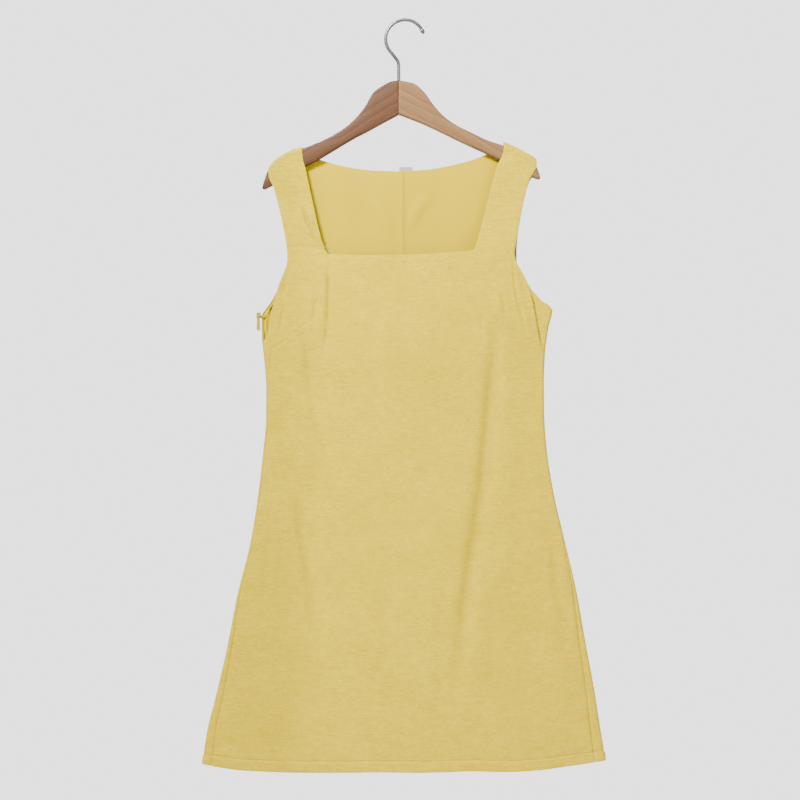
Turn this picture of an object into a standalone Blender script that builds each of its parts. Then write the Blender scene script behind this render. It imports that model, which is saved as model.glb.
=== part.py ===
"""A sleeveless square-necked linen mini dress, hanging on a flat two-piece wooden hanger with a wire hook.

Metres, +Z up, and the dress faces -Y. The origin is the top of the hook's inside, where it hangs on a rail.
"""

import math
from bisect import bisect_right

import bmesh
import bpy
import numpy as np

# Cloth
CLOTH = 0.0012
LINING = 0.0010
SEAM_GAP = 0.0003
FOLD_RADIUS = 0.0050
QUARTER_FOLD = FOLD_RADIUS * math.pi / 2
HEM_HEIGHT = -1.0481
HEM_TURN = 0.0150
HEM_STEP = 0.0010
ARM_HEIGHT = -0.4071
NECK_HEIGHT = -0.3237
NECK_SAG = 0.0038
BACK_SEAM_X = -0.0028
ZIP_SLIT = 0.0014
LINING_ROW = 3
LINING_COLUMN = 5
NORMAL_STEP = 0.0002
LEVEL = (1.0, 1.0, 0.0)

# Hanger
BOARD_HALF = 0.0060
BOARD_CORNER = 0.0040
HANGER_JOINT_X = -0.0088
WIRE_RADIUS = 0.0021
HOOK_INSIDE = 0.0247
HOOK_TIP_DEG = 16
HOOK_END_DEG = 215
STEM_X = -0.0088
STEM_FOOT = -0.1045
BORE_RADIUS = 0.00245
BORE_FOOT = -0.1050

# Cloth over the hanger's edge: the front turn, the top and the back turn
FRONT_TURN = 0.0058
BACK_TURN = 0.0072
TOP_HALF = 0.0020
SHOULDER_SEAM_DROP = 0.0095
STEEPEST_COSINE = 0.80

# Zip
COIL_RADIUS = 0.0014
COIL_INSET = 0.0031
COIL_TOP = -0.4153
COIL_FOOT = -0.7400
NOSE_X = (-0.2077, -0.2019)
BLOCK_X = (-0.1990, -0.1950)
SLIDER_FOOT = -0.4150
NOSE_TOP = -0.4075
BLOCK_TOP = -0.4116
SLIDER_HALF = 0.0024
BRIDGE_HALF = 0.0008
EAR = 0.0008
EAR_FRONT = -0.0062
EAR_Z = (-0.4148, -0.4112)
PIN_Y = -0.0045
PIN_Z = -0.4130
PIN_RADIUS = 0.0007
BARREL_RADIUS = 0.0016
BARREL_HOLE = 0.0010
PULL_THICKNESS = 0.0011
PULL_WIDTH = 0.0052
PULL_SHOULDER = 0.0028
PULL_LENGTH = 0.0200
PULL_TAPER = 0.0020
PULL_TOP_HALF = 0.00203

# Blank label behind the back neck
LABEL_WIDTH = 0.0168
LABEL_HEIGHT = 0.0220
LABEL_THICKNESS = 0.0010
LABEL_CENTRE = (0.0014, 0.0100, -0.2144)
LABEL_TILT_DEG = 6


def table(columns, *rows):
    """Rows of numbers under named columns, in rising order of the first."""
    rows = sorted(rows)
    return {name: [row[place] for row in rows] for place, name in enumerate(columns.split())}


# The flattened tube of the dress at each height: half widths, depths and how far each side seam lies forward
LEVELS = table(
    "at left right front back seam_left seam_right flatness slope",
    (-1.0507, 0.2842, 0.2814, 0.0215, 0.0140, 0.0160, 0.0185, 0.0, 0.0000),
    (-1.0000, 0.2772, 0.2737, 0.0210, 0.0140, 0.0145, 0.0170, 0.0, 0.0010),
    (-0.9400, 0.2632, 0.2649, 0.0205, 0.0135, 0.0120, 0.0145, 0.0, 0.0025),
    (-0.8700, 0.2478, 0.2524, 0.0200, 0.0130, 0.0090, 0.0115, 0.0, 0.0045),
    (-0.8000, 0.2345, 0.2401, 0.0190, 0.0125, 0.0060, 0.0080, 0.0, 0.0068),
    (-0.7300, 0.2170, 0.2240, 0.0180, 0.0120, 0.0050, 0.0050, 0.0, 0.0090),
    (-0.6600, 0.2058, 0.2079, 0.0165, 0.0110, 0.0045, 0.0020, 0.0, 0.0112),
    (-0.6000, 0.1988, 0.1984, 0.0150, 0.0105, 0.0045, 0.0000, 0.0, 0.0131),
    (-0.5500, 0.1946, 0.1950, 0.0145, 0.0100, 0.0045, 0.0000, 0.0, 0.0146),
    (-0.5100, 0.1946, 0.1946, 0.0150, 0.0100, 0.0036, 0.0000, 0.0, 0.0158),
    (-0.4700, 0.1974, 0.1960, 0.0175, 0.0105, 0.0016, 0.0000, 0.0, 0.0170),
    (-0.4350, 0.2009, 0.2006, 0.0185, 0.0105, 0.0000, 0.0000, 0.0, 0.0181),
    (-0.4071, 0.2016, 0.2065, 0.0180, 0.0105, 0.0000, 0.0000, 0.0, 0.0189),
    (-0.3237, 0.2016, 0.2065, 0.0135, 0.0095, 0.0000, 0.0000, 0.7, 0.0242),
    (-0.2800, 0.2016, 0.2065, 0.0105, 0.0093, 0.0000, 0.0000, 0.9, 0.0242),
    (-0.2360, 0.2016, 0.2065, 0.0082, 0.0092, 0.0000, 0.0000, 1.0, 0.0242),
    (-0.1600, 0.2016, 0.2065, 0.0078, 0.0092, 0.0000, 0.0000, 1.0, 0.0242),
)

# Free edges, as distance out from the middle at each height
FRONT_ARMHOLE = {
    -1: table(
        "at out",
        (-0.4109, 0.1877), (-0.4050, 0.1862), (-0.3983, 0.1844), (-0.3847, 0.1808),
        (-0.3711, 0.1767), (-0.3571, 0.1712), (-0.3431, 0.1658),
        (-0.3320, 0.1641), (-0.3213, 0.1646), (-0.3031, 0.1672), (-0.2835, 0.1709),
        (-0.2639, 0.1753), (-0.2443, 0.1803), (-0.2247, 0.1856), (-0.2079, 0.1903),
    ),
    1: table(
        "at out",
        (-0.4032, 0.2065), (-0.3976, 0.2016), (-0.3906, 0.1904), (-0.3815, 0.1827),
        (-0.3752, 0.1764), (-0.3577, 0.1666), (-0.3465, 0.1603), (-0.3367, 0.1551),
        (-0.3255, 0.1526), (-0.3129, 0.1543), (-0.3003, 0.1564), (-0.2835, 0.1593),
        (-0.2639, 0.1632), (-0.2443, 0.1680), (-0.2247, 0.1729), (-0.2051, 0.1788),
        (-0.1946, 0.1838),
    ),
}
BACK_ARMHOLE = {
    -1: table(
        "at out",
        (-0.4109, 0.2016), (-0.4070, 0.1988), (-0.4011, 0.1946), (-0.3931, 0.1887),
        (-0.3832, 0.1830), (-0.3711, 0.1767), (-0.3571, 0.1712), (-0.3390, 0.1652),
        (-0.3240, 0.1638), (-0.3000, 0.1645), (-0.2700, 0.1694), (-0.2400, 0.1778),
        (-0.2150, 0.1869), (-0.2079, 0.1908),
    ),
    1: table(
        "at out",
        (-0.4032, 0.2065), (-0.3976, 0.2016), (-0.3906, 0.1904), (-0.3815, 0.1827),
        (-0.3752, 0.1764), (-0.3577, 0.1666), (-0.3390, 0.1568), (-0.3240, 0.1568),
        (-0.3000, 0.1582), (-0.2700, 0.1631), (-0.2400, 0.1694), (-0.2150, 0.1778),
        (-0.1990, 0.1841),
    ),
}
STRAP_INNER = {
    -1: table(
        "at out",
        (-0.3261, 0.1078), (-0.3157, 0.1130), (-0.3031, 0.1177), (-0.2835, 0.1224),
        (-0.2639, 0.1267), (-0.2443, 0.1310), (-0.2247, 0.1352), (-0.2061, 0.1389),
        (-0.1757, 0.1436),
    ),
    1: table(
        "at out",
        (-0.3212, 0.0948), (-0.3129, 0.0991), (-0.3003, 0.1029), (-0.2835, 0.1074),
        (-0.2639, 0.1123), (-0.2443, 0.1173), (-0.2247, 0.1225), (-0.2051, 0.1282),
        (-0.1686, 0.1380),
    ),
}

# The top of the cloth where it lies on the hanger, from the neck to the arm
SHOULDER = {
    -1: table(
        "at top",
        (0.1436, -0.1757), (0.1582, -0.1799), (0.1736, -0.1883), (0.1848, -0.1967), (0.1908, -0.2044),
    ),
    1: table(
        "at top",
        (0.1380, -0.1686), (0.1498, -0.1737), (0.1624, -0.1799), (0.1778, -0.1883), (0.1841, -0.1929),
    ),
}
BACK_NECK = table(
    "at top",
    (-0.1436, -0.1859), (-0.1190, -0.1929), (-0.0980, -0.1993), (-0.0742, -0.2045), (-0.0420, -0.2081),
    (-0.0070, -0.2090), (0.0280, -0.2070), (0.0630, -0.2013), (0.0910, -0.1943), (0.1148, -0.1854),
    (0.1380, -0.1783),
)

# The hem's lower edge above its lowest level, across the width
HEM_RISE = table(
    "at rise",
    (-1.0, 0.0093), (-0.9, 0.0049), (-0.8, 0.0020), (-0.5, 0.0), (-0.3, 0.0004), (-0.1, 0.0010),
    (0.05, 0.0003), (0.2, 0.0011), (0.33, 0.0024), (0.5, 0.0010), (0.65, 0.0026), (0.8, 0.0074),
    (0.9, 0.0107), (1.0, 0.0144),
)
HEM_RISE_ENDS = -0.70

# How far the front's edge stands back from the left seam at each height, where the zip is open
ZIP_OPEN = table("at back", (-0.4480, 0.0), (-0.4403, 0.0080), (-0.4277, 0.0130), (-0.4071, 0.0166))

# The two long soft troughs of the front, one from below each bust dart: where each runs and how deep it is
TROUGHS = {
    -1: table(
        "at out depth",
        (-1.0507, 0.1120, 0.0), (-0.9000, 0.1220, 0.0), (-0.8659, 0.1246, 0.0010), (-0.8000, 0.1310, 0.0030),
        (-0.7427, 0.1386, 0.0034), (-0.6800, 0.1500, 0.0028), (-0.6167, 0.1620, 0.0012),
        (-0.5600, 0.1560, 0.0), (-0.5000, 0.1450, 0.0), (-0.4071, 0.1320, 0.0), (-0.3261, 0.1078, 0.0),
    ),
    1: table(
        "at out depth",
        (-1.0507, 0.0620, 0.0), (-0.9900, 0.0650, 0.0), (-0.9220, 0.0714, 0.0012), (-0.8200, 0.0830, 0.0026),
        (-0.7300, 0.0960, 0.0034), (-0.6420, 0.1078, 0.0036), (-0.5200, 0.1190, 0.0030),
        (-0.4400, 0.1250, 0.0012), (-0.4071, 0.1260, 0.0), (-0.3212, 0.0948, 0.0),
    ),
}
TROUGH_STEPS = (-0.014, -0.007, 0.0, 0.007, 0.014)
TROUGH_WIDTH = 0.008

# Rows and columns of the cloth's grids
BODY_ROWS = (
    0.0, HEM_TURN, HEM_TURN + HEM_STEP, 0.03, 0.09, 0.16, 0.23, 0.30, 0.37, 0.44, 0.50, 0.55, 0.59, 0.6001, 0.6078,
    0.6204, ARM_HEIGHT - HEM_HEIGHT,
)
ARM_ROWS = (0.004, 0.010, 0.018, 0.029, 0.045, 0.064, 0.0834)
STRAP_ROWS = 6
TURN_CELLS = 3
BACK_UPPER_ROWS = (0.02, 0.05, 0.09, 0.14, 0.22, 0.31, 0.42, 0.56, 0.72, 0.87, 1.0)
FRONT_SIDE = (0.0, 0.02, 0.045, 0.09, 0.17, 0.30, 0.48, 0.72, 1.0)
FRONT_MIDDLE = 8
STRAP_COLUMN = len(FRONT_SIDE) + 1
NECK_ROW = len(BODY_ROWS) + len(ARM_ROWS) - 1
BACK_FOLD = (0.0, 0.2, 0.4, 0.6, 0.8, 1.0)
BACK_SIDE = (0.12, 0.28, 0.48, 0.72, 1.0)
BACK_MIDDLE = 6
BACK_TRACK = 0.75
TRACK_COLUMN = len(BACK_FOLD) + len(BACK_SIDE) - 1

# Hanger boards, from the joint at the hook to the tip: distance out, top, bottom, half thickness
BOARDS = {
    -1: table(
        "at top foot half",
        (0.00895, -0.0825, -0.1311, 0.006), (0.0196, -0.0843, -0.1370, 0.006), (0.0336, -0.0914, -0.1444, 0.006),
        (0.0452, -0.1004, -0.1509, 0.006), (0.0567, -0.1201, -0.1571, 0.006), (0.0682, -0.1342, -0.1629, 0.006),
        (0.0826, -0.1475, -0.1712, 0.006), (0.1053, -0.1619, -0.1849, 0.006), (0.1253, -0.1711, -0.1965, 0.006),
        (0.1424, -0.1775, -0.2050, 0.006), (0.1582, -0.1821, -0.2142, 0.006), (0.1736, -0.1905, -0.2232, 0.006),
        (0.1848, -0.1989, -0.2297, 0.006), (0.1911, -0.2072, -0.2328, 0.006), (0.1960, -0.2191, -0.2351, 0.006),
        (0.1986, -0.2280, -0.2352, 0.0055), (0.1996, -0.2325, -0.2340, 0.0045),
    ),
    1: table(
        "at top foot half",
        (-0.00865, -0.0825, -0.1311, 0.006), (0.0119, -0.0869, -0.1388, 0.006), (0.0262, -0.0984, -0.1446, 0.006),
        (0.0405, -0.1178, -0.1512, 0.006), (0.0546, -0.1330, -0.1579, 0.006), (0.0690, -0.1436, -0.1651, 0.006),
        (0.0976, -0.1580, -0.1785, 0.006), (0.1148, -0.1662, -0.1864, 0.006), (0.1347, -0.1728, -0.1960, 0.006),
        (0.1498, -0.1777, -0.2041, 0.006), (0.1666, -0.1855, -0.2129, 0.006), (0.1764, -0.1918, -0.2179, 0.006),
        (0.1827, -0.2009, -0.2203, 0.006), (0.1873, -0.2114, -0.2214, 0.0055), (0.1893, -0.2184, -0.2199, 0.0045),
    ),
}
BOARD_CORNER_CELLS = 2

# Colours as seen, roughness and metallic value of each material
FINISHES = {
    "linen": ((218, 199, 138), 0.90, 0.0),
    "lining": ((224, 204, 121), 0.60, 0.0),
    "wood_dark": ((158, 121, 93), 0.45, 0.0),
    "wood_light": ((193, 163, 135), 0.45, 0.0),
    "steel": ((190, 188, 184), 0.25, 1.0),
    "zip_tape": ((206, 186, 126), 0.55, 0.0),
    "zip_lacquer": ((204, 184, 122), 0.35, 0.1),
    "label": ((206, 204, 200), 0.70, 0.0),
}


def read(columns, name, at):
    """A column's value at a place, on a smooth curve through the rows that doesn't overshoot them."""
    keys, values = columns["at"], columns[name]
    at = min(max(at, keys[0]), keys[-1])
    low = min(bisect_right(keys, at) - 1, len(keys) - 2)
    gaps = [after - before for before, after in zip(keys, keys[1:])]
    rises = [(after - before) / gap for before, after, gap in zip(values, values[1:], gaps)]

    def slope(row):
        if row in (0, len(rises)):
            return rises[min(row, len(rises) - 1)]
        before, after = rises[row - 1], rises[row]
        return 0.0 if before * after <= 0 else 2 * before * after / (before + after)

    part = (at - keys[low]) / gaps[low]
    square, cube = part**2, part**3
    return (
        values[low] * (2 * cube - 3 * square + 1)
        + values[low + 1] * (3 * square - 2 * cube)
        + gaps[low] * (slope(low) * (cube - 2 * square + part) + slope(low + 1) * (cube - square))
    )


def blend(first, last, part):
    return first + (last - first) * part


def material(name):
    """A plain Principled material in the piece's colour as seen."""
    shade, roughness, metallic = FINISHES[name]
    made = bpy.data.materials.get(name) or bpy.data.materials.new(name)
    made.use_nodes = True
    surface = made.node_tree.nodes["Principled BSDF"]
    surface.inputs["Base Color"].default_value = [((level / 255) ** 2.2) for level in shade] + [1.0]
    surface.inputs["Roughness"].default_value = roughness
    surface.inputs["Metallic"].default_value = metallic
    return made


def add(name, mesh, finish):
    """An object for a finished bmesh, smooth shaded but for its sharp edges."""
    mesh.normal_update()
    bmesh.ops.recalc_face_normals(mesh, faces=mesh.faces)
    data = bpy.data.meshes.new(name)
    mesh.to_mesh(data)
    mesh.free()
    data.materials.append(material(finish))
    data.shade_smooth()
    data.set_sharp_from_angle(angle=math.radians(40))
    made = bpy.data.objects.new(name, data)
    bpy.context.collection.objects.link(made)
    return made


def helper(made):
    """Marks a cutter or an added shape, which is not a piece of its own."""
    made.hide_render = True
    made.display_type = "WIRE"
    return made


def boolean(made, operation, other):
    change = made.modifiers.new(operation.lower(), "BOOLEAN")
    change.operation = operation
    change.solver = "EXACT"
    change.object = helper(other)


def box(name, low, high, finish):
    mesh = bmesh.new()
    corners = bmesh.ops.create_cube(mesh, size=1.0)["verts"]
    for corner in corners:
        corner.co = [blend(a, b, place + 0.5) for a, b, place in zip(low, high, corner.co)]
    return add(name, mesh, finish)


def cylinder(name, centre, axis, radius, length, finish, sides=16):
    """A cylinder about a line along X or Z."""
    mesh = bmesh.new()
    corners = bmesh.ops.create_cone(
        mesh, cap_ends=True, segments=sides, radius1=radius, radius2=radius, depth=length
    )["verts"]
    for corner in corners:
        x, y, z = corner.co
        x, y, z = (z, y, -x) if axis == "X" else (x, y, z)
        corner.co = (centre[0] + x, centre[1] + y, centre[2] + z)
    return add(name, mesh, finish)


def rod(name, points, radius, finish, resolution, end_swell=1.0):
    """A round wire along a line of points, with its last point swelled where it ends in a bead."""
    data = bpy.data.curves.new(name, "CURVE")
    data.dimensions = "3D"
    data.bevel_depth = radius
    data.bevel_resolution = resolution
    data.use_fill_caps = True
    spline = data.splines.new("POLY")
    spline.points.add(len(points) - 1)
    for point, place in zip(spline.points, points):
        point.co = (*place, 1.0)
    spline.points[0].radius = 0.7 * end_swell
    spline.points[1].radius = end_swell
    spline.points[2].radius = end_swell
    data.materials.append(material(finish))
    made = bpy.data.objects.new(name, data)
    bpy.context.collection.objects.link(made)
    return made


# Cross-section of the dress


def side_name(side):
    return "left" if side < 0 else "right"


def half_width(side, height):
    return read(LEVELS, side_name(side), height)


def depth(face, share, height):
    """How far a face of the tube stands from its middle plane, at a share of the way out to the side fold."""
    deepest = read(LEVELS, "front" if face < 0 else "back", height)
    flatness = read(LEVELS, "flatness", height)
    return FOLD_RADIUS + (deepest - FOLD_RADIUS) * (1 - (1 - flatness) * share**3)


def on_tube(along, height, face):
    """x and y of the outer surface at a signed distance along the cloth, which may pass round the side fold."""
    side = math.copysign(1, along)
    along = abs(along)
    flat = half_width(side, height) - FOLD_RADIUS
    past = along - flat
    if past <= 0:
        return side * along, face * depth(face, along / flat, height)
    if past >= 2 * QUARTER_FOLD:
        out = flat - (past - 2 * QUARTER_FOLD)
        return side * out, -face * depth(-face, out / flat, height)
    turn = past / FOLD_RADIUS
    near = face if turn < math.pi / 2 else -face
    return side * (flat + FOLD_RADIUS * math.sin(turn)), face * depth(near, 1.0, height) * math.cos(turn)


def along_cloth(out, side, height):
    """The distance along the cloth of a point that lies this far out."""
    flat = half_width(side, height) - FOLD_RADIUS
    if out <= flat:
        return out
    return flat + FOLD_RADIUS * math.asin(min((out - flat) / FOLD_RADIUS, 1.0))


def seam_along(side, height, face):
    """The distance along the cloth of a panel's side seam, open at the top of the left one, where the zip is."""
    forward = read(LEVELS, "seam_" + side_name(side), height)
    apex = half_width(side, height) - FOLD_RADIUS + QUARTER_FOLD
    gap = SEAM_GAP / 2
    if side < 0 and face < 0:
        gap += read(ZIP_OPEN, "back", height)
    elif side < 0 and height >= ARM_HEIGHT:
        gap = ZIP_SLIT
    return apex + face * forward - gap


def trough(x, height):
    """How far the front's long troughs draw its surface in."""
    side = math.copysign(1, x)
    across = abs(x) - read(TROUGHS[side], "out", height)
    return read(TROUGHS[side], "depth", height) * math.exp(-((across / TROUGH_WIDTH) ** 2))


def lowered(x, height):
    """The rise of the hem's lower edge, fading upward."""
    side = math.copysign(1, x)
    fade = max((HEM_RISE_ENDS - height) / (HEM_RISE_ENDS - HEM_HEIGHT), 0.0) ** 3
    return fade * read(HEM_RISE, "rise", x / half_width(side, height))


def level_point(along, height, face):
    """A point of the outer surface in a level row."""
    x, y = on_tube(along, height, face)
    if face < 0 and y < 0:
        y += trough(x, height)
    return [x, y, height + read(LEVELS, "slope", height) * x + lowered(x, height)]


def free_edge(edges, side, height):
    """Where a sloping level row meets an edge that is given by true height."""
    out = read(edges[side], "out", height)
    for _ in range(4):
        out = read(edges[side], "out", height + read(LEVELS, "slope", height) * side * out)
    return out


# Over the hanger


def shoulder_top(side, out):
    return read(SHOULDER[side], "top", out)


def shoulder_cosine(side, out):
    step = 0.002
    rise = (shoulder_top(side, out + step) - shoulder_top(side, out - step)) / (2 * step)
    return max(1 / math.sqrt(1 + rise**2), STEEPEST_COSINE)


def below_shoulder(side, out, drop):
    return shoulder_top(side, out) - drop / shoulder_cosine(side, out)


def over_hanger():
    """y and drop of the rows that carry a strap over the hanger's top and down to the shoulder seam."""
    turns = [math.pi / 2 * step / TURN_CELLS for step in range(TURN_CELLS + 1)]
    front = [(-TOP_HALF - FRONT_TURN * math.cos(a), FRONT_TURN * (1 - math.sin(a))) for a in turns]
    back = [(TOP_HALF + BACK_TURN * math.sin(a), BACK_TURN * (1 - math.cos(a))) for a in turns]
    return front + back + [(TOP_HALF + BACK_TURN, SHOULDER_SEAM_DROP)]


# Grids of the panels


def front_columns(outer, tracks, shift):
    """Signed distances of the front's columns between its two edges, close together along each trough."""
    left, right = tracks[-1], tracks[1]
    near, far = TROUGH_STEPS[0], TROUGH_STEPS[-1]
    columns = [blend(outer[-1], left + near, share) for share in FRONT_SIDE]
    columns += [left + step for step in TROUGH_STEPS[1:-1]]
    columns += [blend(left + far, right + near, cell / FRONT_MIDDLE) for cell in range(FRONT_MIDDLE + 1)]
    columns += [right + step for step in TROUGH_STEPS[1:-1]]
    columns += [blend(outer[1], right + far, share) for share in reversed(FRONT_SIDE)]
    return [column + shift for column in columns]


def front_grid(shift=0.0):
    """The front's outer surface, with its columns moved sideways by a shift."""
    grid = []
    heights = [HEM_HEIGHT + rise for rise in BODY_ROWS] + [ARM_HEIGHT + rise for rise in ARM_ROWS]
    for height in heights:
        outer = {}
        tracks = {}
        for side in (-1, 1):
            if height <= ARM_HEIGHT:
                outer[side] = side * seam_along(side, height, -1)
            else:
                outer[side] = side * along_cloth(free_edge(FRONT_ARMHOLE, side, height), side, height)
            neck_end = TROUGHS[side]["out"][-1]
            track = read(TROUGHS[side], "out", height)
            tracks[side] = side * (neck_end if height >= NECK_HEIGHT - SEAM_GAP else track)
        row = [level_point(along, height, -1) for along in front_columns(outer, tracks, shift)]
        sag = max((height - ARM_HEIGHT) / (NECK_HEIGHT - ARM_HEIGHT), 0.0) ** 2 * NECK_SAG
        middle = (tracks[-1] + tracks[1]) / 2
        reach = (tracks[1] - tracks[-1]) / 2
        for point in row:
            point[2] -= sag * max(1 - ((point[0] - middle) / reach) ** 2, 0.0)
        grid.append(row)
    grid += strap_rows(grid[-1], shift)
    top = grid[-1]
    corners = strap_corners(top)
    for y, drop in over_hanger()[1:]:
        grid.append([[x, y, top_height(x, corners, drop)] for x, _, _ in top])
    return np.array(grid)


def strap_corners(row):
    """x of the straps' inner and outer edges in a row of the front."""
    return {-1: (row[STRAP_COLUMN][0], row[0][0]), 1: (row[-1 - STRAP_COLUMN][0], row[-1][0])}


def top_height(x, corners, drop):
    """Height of a strap's row that lies this far below the hanger's top line, and of the guide points between."""
    left, right = corners[-1][0], corners[1][0]
    if left < x < right:
        part = (x - left) / (right - left)
        return blend(below_shoulder(-1, -left, drop), below_shoulder(1, right, drop), part)
    return below_shoulder(math.copysign(1, x), abs(x), drop)


def strap_rows(neck, shift):
    """Rows from the neckline up to where the straps turn over the hanger."""
    start_z = {
        -1: (neck[STRAP_COLUMN][2], neck[0][2]),
        1: (neck[-1 - STRAP_COLUMN][2], neck[-1][2]),
    }
    rows = []
    for step in range(1, STRAP_ROWS + 1):
        part = step / STRAP_ROWS
        corners = {}
        heights = {}
        for side in (-1, 1):
            ends = (SHOULDER[side]["at"][0], SHOULDER[side]["at"][-1])
            heights[side] = [
                blend(low, below_shoulder(side, out, FRONT_TURN), part)
                for low, out in zip(start_z[side], ends)
            ]
            inner = read(STRAP_INNER[side], "out", heights[side][0])
            outer = read(FRONT_ARMHOLE[side], "out", heights[side][1])
            if step == STRAP_ROWS:
                inner, outer = ends
            corners[side] = (side * inner, side * outer)
        outers = {side: corners[side][1] for side in corners}
        inners = {side: corners[side][0] for side in corners}
        columns = front_columns(outers, inners, shift)
        rows.append([strap_point(x, corners, heights, part) for x in columns])
    return rows


def strap_point(x, corners, heights, part):
    """A point of a strap, or a guide point between the straps."""
    left, right = corners[-1][0], corners[1][0]
    if left < x < right:
        z = blend(heights[-1][0], heights[1][0], (x - left) / (right - left))
    else:
        side = math.copysign(1, x)
        inner, outer = corners[side]
        share = (x - inner) / (outer - inner)
        z = blend(heights[side][0], heights[side][1], share)
        ends = [SHOULDER[side]["at"][0], SHOULDER[side]["at"][-1]]
        chord = blend(*[below_shoulder(side, out, FRONT_TURN) for out in ends], share)
        z += part**2 * (below_shoulder(side, blend(*ends, share), FRONT_TURN) - chord)
    height = z - read(LEVELS, "slope", z) * x
    y = blend(on_tube(x, height, -1)[1], -TOP_HALF - FRONT_TURN, part**4)
    return [x, y, z]


def back_top(x):
    """The back's upper edge: shoulder seam, neck, shoulder seam."""
    side = math.copysign(1, x)
    if abs(x) >= SHOULDER[side]["at"][0]:
        return below_shoulder(side, abs(x), SHOULDER_SEAM_DROP + SEAM_GAP)
    return read(BACK_NECK, "top", x)


def back_columns(side, edge, fold, track, shift):
    """Distances of one half's columns from its side edge to the middle seam."""
    middle = side * BACK_SEAM_X + SEAM_GAP / 2
    columns = [edge - fold * share for share in BACK_FOLD]
    columns += [blend(columns[-1], track, share) for share in BACK_SIDE]
    columns += [blend(track, middle, cell / BACK_MIDDLE) for cell in range(1, BACK_MIDDLE + 1)]
    return [column + shift for column in columns]


def back_grid(side, shift=0.0):
    """The outer surface of half the back, from its side edge to the middle seam."""
    grid = []
    for rise in BODY_ROWS:
        height = HEM_HEIGHT + rise
        fold = QUARTER_FOLD + read(LEVELS, "seam_" + side_name(side), height)
        track = BACK_TRACK * half_width(side, height)
        columns = back_columns(side, seam_along(side, height, 1), fold, track, shift)
        grid.append([level_point(side * along, height, 1) for along in columns])
    arm_z = [point[2] for point in grid[-1]]
    corner_in, corner_out = SHOULDER[side]["at"][0], SHOULDER[side]["at"][-1]
    ends = back_columns(side, corner_out, QUARTER_FOLD, corner_in, shift)
    for part in BACK_UPPER_ROWS:
        edge_z = blend(arm_z[0], back_top(side * corner_out), part)
        height = edge_z - read(LEVELS, "slope", edge_z) * side * corner_out
        edge = corner_out if part == 1.0 else read(BACK_ARMHOLE[side], "out", edge_z)
        track = blend(BACK_TRACK * half_width(side, ARM_HEIGHT), corner_in, part)
        columns = back_columns(side, along_cloth(edge, side, height), QUARTER_FOLD, track, shift)
        row = []
        for place, along in enumerate(columns):
            z = blend(arm_z[place], back_top(side * ends[place]), part)
            height = z - read(LEVELS, "slope", z) * side * along
            x, y = on_tube(side * along, height, 1)
            row.append([x, y, z])
        grid.append(row)
    return np.array(grid)


def with_normals(make_grid, face):
    """A grid of points and its unit normals, which point out on a face of the tube."""
    points = make_grid(0.0)
    along = make_grid(NORMAL_STEP) - make_grid(-NORMAL_STEP)
    up = np.gradient(points, axis=0)
    out = np.cross(along, up)
    out /= np.linalg.norm(out, axis=2, keepdims=True)
    middle = out[len(BODY_ROWS) // 2, out.shape[1] // 2]
    return points, out * (1 if middle[1] * face > 0 else -1)


def wall(name, outer, inner, finish):
    """A closed wall between two matching grids of points."""
    mesh = bmesh.new()
    made = {}

    def corner(layer, row, column):
        key = (layer, row, column)
        if key not in made:
            made[key] = mesh.verts.new((outer, inner)[layer][row][column])
        return made[key]

    rows, columns = outer.shape[0] - 1, outer.shape[1] - 1
    here = {(r, c) for r in range(rows) for c in range(columns)}
    for r, c in sorted(here):
        ring = [(r, c), (r, c + 1), (r + 1, c + 1), (r + 1, c)]
        mesh.faces.new([corner(0, *place) for place in ring])
        mesh.faces.new([corner(1, *place) for place in reversed(ring)])
        neighbours = [(r - 1, c), (r, c + 1), (r + 1, c), (r, c - 1)]
        for start, neighbour in enumerate(neighbours):
            if neighbour not in here:
                first, last = ring[start], ring[(start + 1) % 4]
                mesh.faces.new([corner(0, *first), corner(1, *first), corner(1, *last), corner(0, *last)])
    return add(name, mesh, finish)


def thickness(rows):
    """The wall's thickness in each row: doubled where the hem is turned up."""
    made = np.full((rows, 1, 1), CLOTH)
    made[:2] = 2 * CLOTH
    return made


def part_of(points, rows, columns):
    """The points in a range of rows and columns, drawn back by half a gap along each column where it is cut."""
    first, last = columns
    made = points[rows[0] : rows[1] + 1, first : last + 1].copy()
    for cut, edge, beside in ((first > 0, 0, 1), (last < points.shape[1] - 1, -1, -2)):
        if cut:
            ahead = (made[:, beside] - made[:, edge]) * LEVEL
            made[:, edge] += SEAM_GAP / 2 * ahead / np.linalg.norm(ahead, axis=1, keepdims=True)
    return made


def panel(name, outer, inner, rows, columns, finish):
    wall(name, part_of(outer, rows, columns), part_of(inner, rows, columns), finish)


def make_front():
    """The front in three parts: a middle up to the neck, and each side with its strap."""
    outer, out = with_normals(front_grid, -1)
    inner = outer - out * thickness(len(outer))
    top, edge = outer.shape[0] - 1, outer.shape[1] - 1
    panel("front", outer, inner, (0, NECK_ROW), (STRAP_COLUMN, edge - STRAP_COLUMN), "linen")
    panel("front_side_left", outer, inner, (0, top), (0, STRAP_COLUMN), "linen")
    panel("front_side_right", outer, inner, (0, top), (edge - STRAP_COLUMN, edge), "linen")


def make_back(side):
    """Half the back in two parts, and the lining that lies inside them on the same points."""
    outer, out = with_normals(lambda shift: back_grid(side, shift), 1)
    name = side_name(side)
    inner = outer - out * thickness(len(outer))
    rows = (0, outer.shape[0] - 1)
    middle = outer.shape[1] - 1
    panel("back_" + name, outer, inner, rows, (TRACK_COLUMN, middle), "linen")
    panel("back_side_" + name, outer, inner, rows, (0, TRACK_COLUMN), "linen")
    lining_out = outer - out * (CLOTH + SEAM_GAP)
    lining_in = lining_out - out * LINING
    lined = (LINING_ROW, rows[1])
    panel("lining_back_" + name, lining_out, lining_in, lined, (LINING_COLUMN, middle), "lining")


# Hanger


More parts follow.
